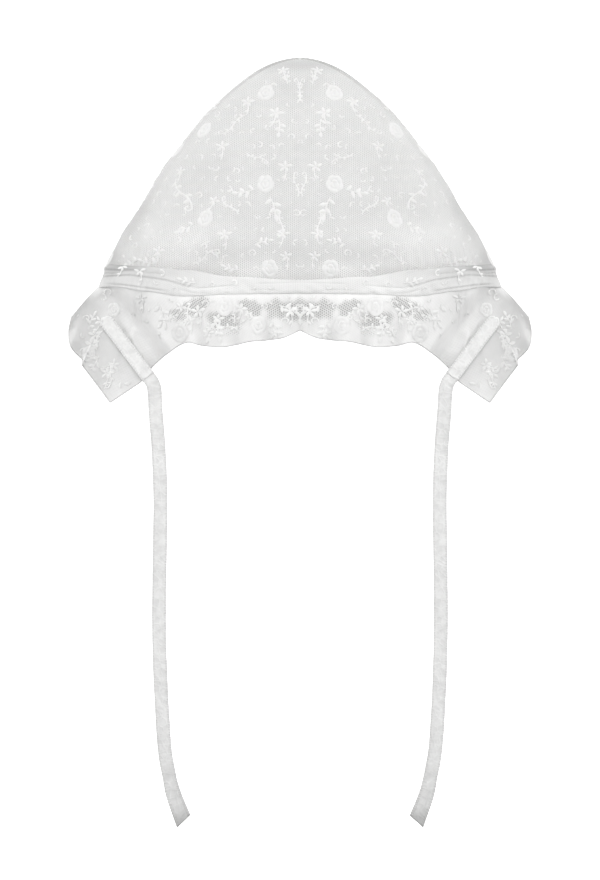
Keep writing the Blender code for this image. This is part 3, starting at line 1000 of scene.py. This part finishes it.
def ruffle_point(station, run, share, side):
    """A point of the ruffle: share is 0 at the band and 1 at the free edge."""
    turn, x, y, z = station
    angle = BAND_ANGLE * turn
    seam, out = crown_place(angle, band_bottom(angle) - SEAM_GAP)
    seam = seam + out * (BAND_INSIDE + BAND_THICKNESS / 2)
    flare = 1 - (1 - share) ** 1.6
    bulge = 0.001 * ease((turn - 0.86) / 0.14) * share * (1 - share)
    across = side * (between(seam.x + end_flare(turn), x, share) + bulge)
    point = Vector((across, between(seam.y, -y, flare), between(seam.z, -z, share)))
    point, hold = pinned(point, side) if share > 0 else (point, 0.0)
    wave = math.cos(2 * math.pi * 8.5 * run) * share**0.8 * (1 - hold)
    gather = math.sin(2 * math.pi * 26 * run + 2 * math.sin(31 * run))
    gather *= 0.6 + 0.4 * math.sin(2 * math.pi * 5 * run)
    pleat = 0.00055 * gather * swell(share + 0.05, 0.9) * (1 - hold)
    step = fold_step(abs(point.x), point.z)
    return point + Vector((0, 0.0022 * wave + pleat - step, 0))


print("folds beside each stay:", len(FOLD_LINES))

# %% Make the ruffle
HEM_PARTS = 14
RUFFLE_ROWS = 34


def make_ruffle():
    """The sheet of net, and its free edge for the hem."""
    half = hem_stations(HEM_PARTS)
    last = len(half) - 1
    columns = [(half[i], i / last, -1) for i in range(last, 0, -1)]
    columns += [(half[i], i / last, 1) for i in range(last + 1)]
    rows, cloth = [], []
    for row in range(RUFFLE_ROWS + 1):
        share = 1 - row / RUFFLE_ROWS
        rows.append([ruffle_point(station, run, share, side) for station, run, side in columns])
    for row in rows:
        along = [0.0]
        for a, b in zip(row, row[1:]):
            along.append(along[-1] + math.copysign(math.hypot(b.x - a.x, b.y - a.y), b.x - a.x))
        shift = along[len(along) // 2]
        cloth.append([(u - shift, point.z) for u, point in zip(along, row)])
    mesh = sheet_mesh("ruffle_net_sheet", rows, cloth)
    ruffle = new_piece("ruffle_net_sheet", mesh, ruffle_net)
    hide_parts("ruffle")
    return ruffle, rows[0]


ruffle, ruffle_edge = make_ruffle()
print("ruffle faces:", len(ruffle.data.polygons))

# %% Where the ruffle's net is open, and its painted shade and painted light
# Patches open enough to see into the bonnet: a place in the picture, half width and half height
OPEN_PATCHES = (
    (0, 310, 16, 11), (24, 309, 11, 10), (46, 309, 8, 8), (54, 304, 7, 5), (78, 320, 14, 11),
    (68, 328, 9, 7), (106, 308, 11, 9), (120, 314, 9, 7), (98, 302, 7, 6))
# Painted shade and painted light on the ruffle, set in the same way as those of the crown
RUFFLE_PAINTED_SHADING = (
    (70, 294, 100, 5, 0.12), (152, 345, 14, 18, 0.1), (172, 340, 10, 22, 0.06),
    (172, 322, 8, 10, 0.05), (118, 315, 10, 7, 0.08), (27, 314, 8, 7, 0.09),
    (13, 312, 7, 17, -0.17), (204, 304, 12, 9, -0.09), (75, 334, 14, 5, -0.06),
    (208, 366, 8, 10, 0.07), (70, 318, 44, 20, -0.05), (0, 310, 24, 16, -0.06),
    (199, 289, 12, 5, -0.1), (229, 336, 4, 10, -0.14), (224, 326, 12, 24, -0.1),
    (207, 336, 8, 26, -0.07), (212, 302, 14, 10, -0.05), (198, 386, 16, 10, -0.03),
    (202, 320, 5, 9, -0.04), (196, 337, 8, 5, -0.03), (206, 349, 8, 5, -0.04),
    (192, 371, 12, 9, -0.02), (140, 322, 26, 26, 0.03), (118, 336, 16, 12, 0.04),
    (165, 300, 30, 10, 0.05), (104, 325, 3.0, 12, -0.1), (90, 313, 2.5, 7, -0.08),
    (58, 318, 3, 12, -0.05), (181, 350, 2.5, 18, -0.06))


def openness(point):
    """How far a point of the ruffle lies in one of the open patches, from 0 to 1."""
    x, y = picture_place(point)
    share = 0.0
    for across, down, wide, tall in OPEN_PATCHES:
        lobes = math.sin(5 * math.atan2(y - down, x - across))
        away = math.hypot((x - across) / wide, (y - down) / tall) * (1 + 0.14 * lobes)
        share = max(share, 1 - ease((away - 0.62) * 1.5))
    return share


def ruffle_fill(point):
    return between(0.96, 0.46, openness(point))


def ruffle_tone(point):
    # painted shade: open patches darker for the shaded inside seen through, then the spots
    return 1 - 0.18 * openness(point) + soft_spots(point, RUFFLE_PAINTED_SHADING)


store(ruffle, "fill", ruffle_fill)
store(ruffle, "tone", ruffle_tone)
print("open patches in half of the ruffle:", len(OPEN_PATCHES))

# %% [markdown]
# ### The hem of the ruffle
# The free edge is a narrow rolled hem, seen in the photograph as a thin grey line. A bump on the
# net would not stand out at its edge, so the hem is a fine tube that follows the last row.

# %% Roll the hem
HEM_RADIUS = 0.00045
HEM_FLATNESS = 0.9
HEM_TONE = 0.86
HEM_CORNERS = [k * math.pi / 3 for k in range(7)]


def rolled_hem(name, path):
    rows, cloth = [], []
    gone = 0.0
    for i, middle in enumerate(path):
        run, front, across = ribbon_ways(path, i)
        if i:
            gone += (middle - path[i - 1]).length
        rows.append([middle + (across * math.cos(turn) * HEM_RADIUS
                               + front * math.sin(turn) * HEM_RADIUS * HEM_FLATNESS)
                     for turn in HEM_CORNERS])
        cloth.append([(gone, k * HEM_RADIUS) for k in range(len(HEM_CORNERS))])
    hem = new_piece(name, sheet_mesh(name, rows, cloth), covered_cloth)
    store(hem, "tone", lambda point: HEM_TONE)
    return hem


hem = rolled_hem("ruffle_hem", ruffle_edge)
print("length of the hem in mm:", round(1000 * path_length(ruffle_edge)))


def sheet_area(piece):
    return sum(face.area for face in piece.data.polygons)


print("areas in square cm:",
      [(piece.name, round(1e4 * sheet_area(piece))) for piece in (lining, cover, ruffle)])

# %% [markdown]
# ## Embroidery
# The net is worked with shiny thread: small rolled roses, stars of thin petals, leafy sprays and
# beaded vines that wander between them. This is a common pattern for baby lace. A bump in the
# shader would look flat from the side, so each worked shape is a small domed pad of its own, laid
# on the net. All of them come from one helper, a ribbon that is highest along its middle.

# %% One worked shape
# A shape wider than this is lower. Then shares of the width, and how high each stands
FILLED_WIDTH = 0.0035
PAD_ACROSS = ((-0.5, 0.0), (-0.3, 0.75), (0.0, 1.0), (0.3, 0.75), (0.5, 0.0))


def work_pad(form, spot, path, widths, rise, tone):
    """Lays a domed ribbon along a path. spot(u, v, h) gives a point of the bonnet."""
    flat = form.loops.layers.uv.verify()
    tones = form.verts.layers.float.get("tone") or form.verts.layers.float.new("tone")
    rows, places = [], []
    gone = 0.0
    for i, (u, v) in enumerate(path):
        before, after = path[max(i - 1, 0)], path[min(i + 1, len(path) - 1)]
        du, dv = after[0] - before[0], after[1] - before[1]
        size = math.hypot(du, dv) or 1.0
        if i:
            gone += math.hypot(u - path[i - 1][0], v - path[i - 1][1])
        # a wide ground is filled flatter than a narrow petal
        low = min(1.0, widths[i] / max(widths) + 0.15) * min(1.0, FILLED_WIDTH / max(widths))
        row = [spot(u - dv / size * widths[i] * s, v + du / size * widths[i] * s, rise * h * low)
               for s, h in PAD_ACROSS]
        if None in row:
            return
        rows.append([form.verts.new(point) for point in row])
        places.append([(gone, widths[i] * s) for s, h in PAD_ACROSS])
        for corner in rows[-1]:
            corner[tones] = tone
    for r in range(len(rows) - 1):
        for i in range(len(PAD_ACROSS) - 1):
            spots = ((r, i), (r + 1, i), (r + 1, i + 1), (r, i + 1))
            face = form.faces.new([rows[a][b] for a, b in spots])
            for loop, (a, b) in zip(face.loops, spots):
                loop[flat].uv = places[a][b]


def leaf(start, direction, length, width, bend=0.0, stations=7):
    """A pointed leaf or petal from its foot: its path and its widths."""
    path, widths = [], []
    for i in range(stations):
        share = i / (stations - 1)
        turn = math.radians(direction + bend * (share - 0.5))
        if i:
            step = length / (stations - 1)
            path.append((path[-1][0] + step * math.cos(turn), path[-1][1] + step * math.sin(turn)))
        else:
            path.append(start)
        widths.append(width * max(0.12, math.sin(math.pi * min(max(share, 0.03), 0.97)) ** 0.75))
    return path, widths


print("points along a leaf:", len(leaf((0, 0), 0, 0.004, 0.002)[0]))

# %% Roses and stars
STEM_WIDTH = 0.0006


def rose(size):
    """A rolled rose: a filled oval ground, with three inner and five outer petals over it."""
    oval = [(0.0, size * (i / 10 - 0.5)) for i in range(11)]
    spans = [size * 0.9 * max(0.25, math.sqrt(1 - (2 * i / 10 - 1) ** 2)) for i in range(11)]
    shapes = [(oval, spans)]
    for count, radius, width, sweep, turn in ((3, 0.15, 0.2, 130, 20), (5, 0.34, 0.27, 80, 0)):
        for k in range(count):
            path, widths = [], []
            for i in range(8):
                share = i / 7
                angle = math.radians(turn + 360 / count * k + sweep * share)
                reach = size * radius * (0.94 + 0.12 * share)
                path.append((0.95 * reach * math.cos(angle), 1.12 * reach * math.sin(angle)))
                narrowing = max(0.2, math.sin(math.pi * (0.06 + 0.88 * share)) ** 0.6)
                widths.append(size * width * narrowing)
            shapes.append((path, widths))
    return shapes


def stem(length, way, bend, stations):
    """The path of a bent stem."""
    return leaf((0, 0), way, length, STEM_WIDTH, bend, stations)[0]


def star(size):
    """A small flower of five uneven petals, on a short bent stem with one leaf."""
    shapes = []
    for k, length in enumerate((0.46, 0.38, 0.50, 0.36, 0.42)):
        angle = 72 * k + 14
        turn = math.radians(angle)
        start = (0.04 * size * math.cos(turn), 0.04 * size * math.sin(turn))
        shapes.append(leaf(start, angle, size * length, 0.22 * size, 16, 6))
    stalk = stem(size * 1.1, 262, 50, 8)
    shapes.append((stalk, [STEM_WIDTH] * len(stalk)))
    shapes.append(leaf(stalk[4], 310, size * 0.36, size * 0.17, 30, 5))
    return shapes


print("a rose takes", len(rose(0.012)), "shapes and a star", len(star(0.009)))

# %% Sprays, vines, buds and curls
def spray(size):
    """A short curved stem with leaves on both sides and one at its tip."""
    stalk = stem(size * 0.8, 0, 30, 9)
    shapes = [(stalk, [STEM_WIDTH] * len(stalk))]
    leaves = ((1, 60, 0.32), (3, -52, 0.36), (5, 50, 0.32), (6, -45, 0.28), (8, 8, 0.34))
    for foot, way, length in leaves:
        shapes.append(leaf(stalk[foot], way, size * length, size * 0.17, -20 if way < 0 else 20, 6))
    return shapes


def vine(size):
    """A beaded stem that waves along with buds beside it, and ends in a hook."""
    length = size * 0.8
    steps = int(length / 0.0005)
    path = [(length * i / steps, size * 0.05 * math.sin(2 * math.pi * i / steps))
            for i in range(steps)]
    end_x, end_y = path[-1]
    for i in range(1, 14):
        angle = math.radians(-90 + 24 * i)
        radius = size * 0.07 * (1 - i / 26)
        path.append((end_x + radius * math.cos(angle),
                     end_y + size * 0.07 + radius * math.sin(angle)))
    beads = [0.00055 + 0.0005 * math.sin(i * 1.05) ** 2 for i in range(len(path))]
    shapes = [(path, beads)]
    for share, way in ((0.1, 65), (0.28, -70), (0.45, 55), (0.62, -60), (0.78, 70)):
        foot = path[int(share * steps)]
        shapes.append(leaf(foot, way, size * 0.13, size * 0.07, 25, 5))
    return shapes


def bud(size):
    """Two tiny leaves, worked here and there between the larger motifs."""
    return [leaf((0, 0), 35, size, size * 0.42, 20, 5),
            leaf((0, 0), 130, size * 0.8, size * 0.38, -20, 5)]


def curl(size):
    """A small hooked scroll."""
    path = []
    for i in range(14):
        angle = math.radians(19 * i)
        radius = size * 0.5 * (1 - i / 22)
        path.append((radius * math.cos(angle), radius * math.sin(angle)))
    return [(path, [0.0006 + 0.0003 * math.sin(i) ** 2 for i in range(len(path))])]


print("a vine takes", len(vine(0.019)), "shapes and a spray", len(spray(0.012)))

# %% One motif
# How each is made, its size, how far it stands up, and the brightness of its ground and petals
MOTIFS = {"rose": (rose, 0.0105, 0.0004, 0.88, 0.95), "star": (star, 0.0082, 0.0004, 1.0, 1.0),
          "spray": (spray, 0.0120, 0.0004, 1.0, 1.0), "vine": (vine, 0.0190, 0.00035, 1.0, 1.0),
          "curl": (curl, 0.0044, 0.00035, 1.0, 1.0), "bud": (bud, 0.0021, 0.0003, 1.0, 1.0)}


def work_motif(form, spot, kind, turn, size, mirror, painted_light=1.0):
    """Works one motif, turned by its angle in degrees, and mirrored for the other half."""
    make, full, rise, ground, petals = MOTIFS[kind]
    cos, sin = math.cos(math.radians(turn)), math.sin(math.radians(turn))
    for k, (path, widths) in enumerate(make(full * size)):
        placed = [(mirror * (u * cos - v * sin), u * sin + v * cos) for u, v in path]
        work_pad(form, spot, placed, widths, rise, painted_light * (petals if k else ground))


print("kinds of motif:", ", ".join(MOTIFS))

# %% [markdown]
# ## Where the motifs lie on the crown
# The photograph shows the front half from the front, so each motif is written as a place in the
# picture: pixels out from the middle, pixels down, and then an angle and a size where it is turned
# or not of full size. The two halves mirror each other. The same chart serves the back, which the
# photograph doesn't show, because such a crown is made from one length of patterned cloth.

# %% The chart of the crown
CROWN_CHART = {
    "rose": ((34, 94), (95, 131), (34, 184), (93, 218), (30, 267)),
    "star": (
        (17, 73, 0, 0.9), (24, 114, 20, 1.1), (52, 103, 5), (77, 147), (15, 167, 10),
        (85, 201, 25, 0.9), (73, 234), (17, 233, 15, 0.95), (14, 255, 0, 0.85), (137, 251, 10),
        (118, 172, 0, 0.8)),
    "spray": (
        (44, 189, -15), (30, 197, 250, 1.1), (21, 120, 265, 0.9), (104, 223, -35, 0.9),
        (140, 262, 5), (44, 244, 160, 0.8), (12, 86, 80, 0.7), (86, 112, 70, 0.8),
        (158, 259, -20, 0.9), (60, 268, 10, 0.8)),
    "curl": (
        (160, 246, 0, 1.1), (8, 138), (82, 116, 90), (3, 213, 40), (46, 252), (100, 196, 30),
        (62, 172), (40, 146, 60), (152, 226), (118, 240, 20), (70, 190, 80, 0.9),
        (6, 122, 200, 0.9), (92, 246, 0, 0.9)),
    "vine": (
        (122, 179, 234, 1.4), (54, 116, -48, 1.1), (3, 104, 105), (52, 154, 205, 0.8),
        (19, 211, 265, 0.9), (104, 262, 150), (60, 214, 40, 0.9), (2, 196, 80, 0.9))}

# The back reaches lower, down to the neck edge
NECK_CHART = {
    "rose": ((93, 305), (155, 285, 0, 0.9)),
    "star": ((60, 300), (124, 300, 10), (18, 300, 0, 0.9), (150, 340, 0, 0.8)),
    "spray": ((34, 296, 20), (140, 318, -60)),
    "vine": ((78, 285, 200), (172, 300, 250, 0.9)),
    "curl": ((110, 285), (160, 330))}

# The sides, which the photograph sees edge on: degrees round from the middle of the face instead
# of pixels out
SIDE_CHART = {
    "rose": ((99, 118, 0, 0.9), (82, 152), (99, 202), (84, 258), (101, 306)),
    "star": (
        (90, 130), (84, 188, 10), (91, 232), (101, 266, 20), (88, 334, 0, 0.9), (86, 292, 0, 0.9)),
    "spray": ((90, 168, 60), (86, 216, -60), (94, 286, 30), (98, 336, 80, 0.9)),
    "vine": ((98, 150, 250), (80, 236, 80), (94, 322, 200, 0.9)),
    "curl": ((92, 200), (100, 236, 60), (84, 122, 0, 0.9), (96, 182, 90), (90, 270), (83, 316))}


def charted(chart):
    """Each motif of a chart as kind, place out, place down, turn and size."""
    for kind, entries in chart.items():
        for entry in entries:
            yield (kind, *entry, *(0, 1.0)[len(entry) - 2:])


print("motifs charted for the crown:",
      [len(list(charted(chart))) for chart in (CROWN_CHART, NECK_CHART, SIDE_CHART)])

# %% From the chart to the cloth
ORIGIN_ROW = 284
CROWN_CLEAR = 0.00005


def picture_x(pixels):
    return pixels * PIXEL


def picture_z(pixels):
    return (ORIGIN_ROW - pixels) * PIXEL


def chart_angle(x, z, behind):
    """The angle round the crown of a place of the front's or the back's chart."""
    angle = math.degrees(math.asin(min(max(x / crown_section(z)[0], -0.98), 0.98)))
    return 180 - angle if behind else angle


def crown_spot(angle, z):
    """Lays places around one point of the crown on its net. Right is towards larger angles."""
    per_degree = crown_cover(angle + 0.5, z) - crown_cover(angle - 0.5, z)
    per_metre = (crown_cover(angle, z + 0.0005) - crown_cover(angle, z - 0.0005)) / 0.001
    level = per_degree.normalized()
    lean = per_metre.dot(level)
    steep = (per_metre - level * lean).length
    face_out = per_degree.cross(per_metre).normalized()

    def spot(u, v, h):
        dz = v / steep
        turn = angle + (u - lean * dz) / per_degree.length
        height = min(z + dz, CROWN_HEIGHT * 0.995)
        return crown_cover(turn, height) + face_out * (CROWN_CLEAR + h)

    return spot


print("the band's middle is at pixel row", round(ORIGIN_ROW - BAND_TOP / 2 / PIXEL))

# %% The thread
SATIN_PITCH = 0.00034


def satin_finish():
    """Shiny thread laid side by side across each shape."""
    material, tree, shader = new_finish("satin_thread", off_white(0.84), 0.5)
    place = flat_place(tree)
    threads = waves(tree, place, 0, SATIN_PITCH)
    raise_threads(tree, shader, threads, 0.00007, 0.6)
    tint(tree, shader, cloudy(tree, place, 300), off_white(0.85), off_white(0.93), "tone")
    soft_fuzz(shader, 0.1)
    return material


satin_thread = satin_finish()
print("finish of the thread:", satin_thread.name)

# %% Scatter the buds
def loose_bud(x, y, row, place):
    """A bud, turned and sized a little differently from its neighbours."""
    return "bud", x, y, 137 * (row + 3 * place) % 360, 1.0 + 0.35 * math.sin(row + place)


def clear_of(chart, x, y, stretch, room):
    """Whether a place keeps away from the larger motifs of a chart. A curl may be near."""
    return all(math.hypot((x - other_x) * stretch, y - other_y) > room
               for kind, other_x, other_y, turn, size in charted(chart) if kind != "curl")


def scattered_buds():
    """Buds in slanting rows over the crown, clear of the larger motifs."""
    chart = []
    for row in range(17):
        for place in range(16):
            x = 5 + 12.2 * place + 6.1 * (row % 2) + 2.5 * math.sin(5 * row + 3 * place)
            y = 72 + 12.0 * row + 2.5 * math.sin(7 * place + 2 * row)
            level = picture_z(y)
            inside = level < 0.112 and picture_x(x) < 0.94 * crown_section(level)[0]
            if inside and clear_of(CROWN_CHART, x, y, 1.0, 10):
                chart.append(loose_bud(x, y, row, place))
    return chart


def side_buds():
    """Buds in slanting rows at the sides, between the last ones of the front and of the back."""
    chart = []
    for row in range(16):
        for place in range(6):
            angle, y = 79 + 6 * place + 3 * (row % 2), 116 + 14 * row
            if clear_of(SIDE_CHART, angle, y, 2.5, 12):
                chart.append(loose_bud(angle, y, row, place))
    return chart


print("buds on the front and at the side of one half:", len(scattered_buds()), len(side_buds()))

# %% Work the crown's embroidery
def finish_work(form, name):
    bmesh.ops.recalc_face_normals(form, faces=form.faces)
    mesh = bpy.data.meshes.new(name)
    form.to_mesh(mesh)
    form.free()
    return new_piece(name, mesh, satin_thread)


def work_crown():
    form = bmesh.new()
    front = [*charted(CROWN_CHART), *scattered_buds()]
    for side in (-1, 1):
        # behind, larger angles run the other way, so the motifs are mirrored
        for chart, behind, mirror in ((front, False, side), (front, True, -side),
                                      (charted(NECK_CHART), True, -side)):
            for kind, x, y, turn, size in chart:
                angle = chart_angle(side * picture_x(x), picture_z(y), behind)
                work_motif(form, crown_spot(angle, picture_z(y)), kind, turn, size, mirror)
        for kind, angle, y, turn, size in (*charted(SIDE_CHART), *side_buds()):
            work_motif(form, crown_spot(side * angle, picture_z(y)), kind, turn, size, side)
    return finish_work(form, "crown_embroidery")


crown_work = work_crown()
print("faces in the crown's embroidery:", len(crown_work.data.polygons))

# %% [markdown]
# ## Motifs on the ruffle
# The ruffle is in folds, so its motifs are laid on it from the front: each point looks straight
# back through the cloth and stops where it meets it. Shapes that would run over an edge are left
# out, as if they had been cut off with the cloth.

# %% The charts of the band and the ruffle
BAND_CHART = {
    "spray": ((102, 281, 10, 0.8),),
    "curl": ((86, 283, 0, 0.8), (136, 272, 60, 0.9), (64, 281, 30, 0.8), (14, 280, 0, 0.8)),
    "star": ((158, 270, 0, 0.8), (176, 266, 30, 0.7)),
    "bud": (
        (142, 283, 20, 1.1), (122, 285, 200, 1.1), (46, 288, 90, 1.1), (28, 287, 0, 1.1),
        (74, 289, 150, 1.1))}
RUFFLE_CHART = {
    "rose": (
        (74, 304, 0, 0.95), (41, 322, 0, 0.95), (118, 330), (185, 309, 0, 0.75),
        (210, 353, 0, 0.8)),
    "star": (
        (198, 321, 40, 0.9), (204, 334, 0, 0.95), (185, 364, 80, 0.9), (10, 308),
        (58, 306, 20, 0.9), (100, 309), (157, 297, 0, 0.9), (207, 343), (192, 372, 15),
        (25, 330, 0, 0.8), (90, 330, 10, 0.8), (117, 305, 30, 0.8), (108, 318, 0, 0.8),
        (80, 316, 10, 0.8), (88, 324, 40, 0.7), (50, 312, 50, 0.7)),
    "bud": (
        (222, 316, 0, 1.2), (218, 336, 60, 1.2), (152, 322, 0, 1.1), (140, 334, 90, 1.1),
        (166, 312, 200, 1.1), (150, 310, 100, 1.1), (128, 300, 30, 1.1), (86, 300, 0, 1.1),
        (30, 300, 70, 1.1), (12, 296, 10, 1.1), (100, 318, 160, 1.1), (64, 312, 240, 1.1)),
    "curl": (
        (124, 318), (14, 318), (50, 314, 40), (92, 302), (190, 292, 0, 1.1), (196, 297, 90),
        (212, 318), (203, 383), (34, 304, 0, 0.9), (66, 318, 0, 0.9), (110, 316, 50, 0.9),
        (215, 350, 0, 0.9)),
    "spray": (
        (20, 303, 200, 0.9), (28, 318, 240, 0.9), (84, 318, 250, 0.9), (140, 302, 250, 1.1),
        (200, 355, 300, 0.9), (180, 380, 220, 0.9), (210, 328, 110, 0.8), (128, 308, 300, 0.9)),
    "vine": (
        (60, 328, 20, 0.9), (106, 300, -70, 0.9), (0, 322, 80, 0.7), (196, 330, -60, 0.9),
        (186, 362, 280, 0.9))}


print("motifs charted for the band and the ruffle:",
      [len(list(charted(chart))) for chart in (BAND_CHART, RUFFLE_CHART)])

# %% Work the ruffle's and the band's embroidery
FRONT_CLEAR = 0.00015
FRONT_RELIEF = 0.6


def front_spot(tree, x, z):
    """Lays places measured from one point on whatever the tree holds, seen from the front."""
    def spot(u, v, h):
        hit, normal = tree.ray_cast(Vector((x + u, -0.3, z + v)), Vector((0, 1, 0)))[:2]
        if hit is None:
            return None
        if normal.y > 0:
            normal = -normal
        return hit + normal * (FRONT_CLEAR + FRONT_RELIEF * h)
    return spot


def work_front(name, piece, chart):
    """Works a chart on a piece from the front, with painted light on the thread of the flaps."""
    form = bmesh.new()
    tree = BVHTree.FromPolygons([v.co for v in piece.data.vertices],
                                [p.vertices for p in piece.data.polygons])
    for side in (-1, 1):
        for kind, x, y, turn, size in charted(chart):
            spot = front_spot(tree, side * picture_x(x), picture_z(y))
            # painted light: the thread on the flaps is made lighter than elsewhere
            painted_light = 1 + 0.12 * ease((x - 170) / 20)
            work_motif(form, spot, kind, turn, size, side, painted_light)
    return finish_work(form, name)


ruffle_work = work_front("ruffle_embroidery", ruffle, RUFFLE_CHART)
band_work = work_front("band_embroidery", band, BAND_CHART)
print("faces in the ruffle's and the band's embroidery:",
      [len(work.data.polygons) for work in (ruffle_work, band_work)])

# %% [markdown]
# ## Pieces cut from flat cloth
# The lining, the net and the ruffle were all cut flat before they were sewn.

sheet_area(ruffle)
print("sheets declared:", lining.name, cover.name, ruffle.name)

# %% [markdown]
# ## Floor, surroundings and light
# The photograph has a clean white ground. A round studio sweep stands far enough out to be behind
# the bonnet from any side, and it gives its own white, so it needs no lamp. The light on
# the bonnet is one wide soft lamp above the camera, one at each side, one behind and a glow that
# is stronger from above, so that the inside of the bonnet and the undersides of folds stay darker.

# %% Floor and backdrop
# Distance from the middle and height
SWEEP_PROFILE = (
    (0.0, -0.42), (1.5, -0.42), (4.0, -0.42), (7.0, -0.30), (8.2, 0.6), (8.6, 2.5), (7.5, 6.0),
    (4.0, 8.0), (0.0, 8.6))
SWEEP_STEPS = 64
SWEEP_GLOW = 0.85


def make_sweep():
    turns = [2 * math.pi * i / SWEEP_STEPS for i in range(SWEEP_STEPS + 1)]
    rows = [[Vector((out * math.sin(turn), out * math.cos(turn), up)) for turn in turns]
            for out, up in SWEEP_PROFILE]
    flat = [[(p.x, p.y) for p in row] for row in rows]
    mesh = sheet_mesh("studio_sweep", rows, flat)
    material, tree, shader = new_finish("studio_white", (0.8, 0.8, 0.8), 0.9)
    shader.inputs["Emission Color"].default_value = (1, 1, 1, 1)
    shader.inputs["Emission Strength"].default_value = SWEEP_GLOW
    mesh.materials.append(material)
    mesh.shade_smooth()
    sweep = bpy.data.objects.new("studio_sweep", mesh)
    bpy.context.scene.collection.objects.link(sweep)
    sweep.visible_diffuse = False
    sweep.visible_shadow = False
    return sweep


print("faces of the backdrop:", len(make_sweep().data.polygons))

# %% Lamps
# Name, place, size and power in watts. Each lamp looks at the origin.
LAMPS = (("front_lamp", (0.0, -2.2, 0.9), 1.6, 14), ("left_lamp", (-2.2, -0.8, 0.5), 1.2, 16),
         ("right_lamp", (2.2, -0.8, 0.5), 1.2, 16), ("back_lamp", (0.0, 2.4, 1.4), 1.6, 25))

for name, place, size, power in LAMPS:
    data = bpy.data.lights.new(name, "AREA")
    data.shape = "DISK"
    data.size = size
    data.energy = power
    lamp = bpy.data.objects.new(name, data)
    bpy.context.scene.collection.objects.link(lamp)
    lamp.location = place
    lamp.rotation_euler = (-Vector(place)).to_track_quat("-Z", "Y").to_euler()
print("lamps set up:", len(LAMPS))

# %% Glow
GLOW_ABOVE = 0.86
GLOW_BELOW = 0.36
world = bpy.data.worlds.new("glow")
world.use_nodes = True
glow = world.node_tree
place = glow.nodes.new("ShaderNodeTexCoord").outputs["Generated"]
split = glow.nodes.new("ShaderNodeSeparateXYZ")
glow.links.new(place, split.inputs["Vector"])
strength = spread(glow, split.outputs["Z"], -0.6, 0.5, GLOW_BELOW, GLOW_ABOVE)
glow.links.new(strength, glow.nodes["Background"].inputs["Strength"])
glow.nodes["Background"].inputs["Color"].default_value = (1, 1, 1, 1)
bpy.context.scene.world = world
bpy.context.scene.view_settings.view_transform = "Standard"
print("glow from below and from above:", GLOW_BELOW, GLOW_ABOVE)
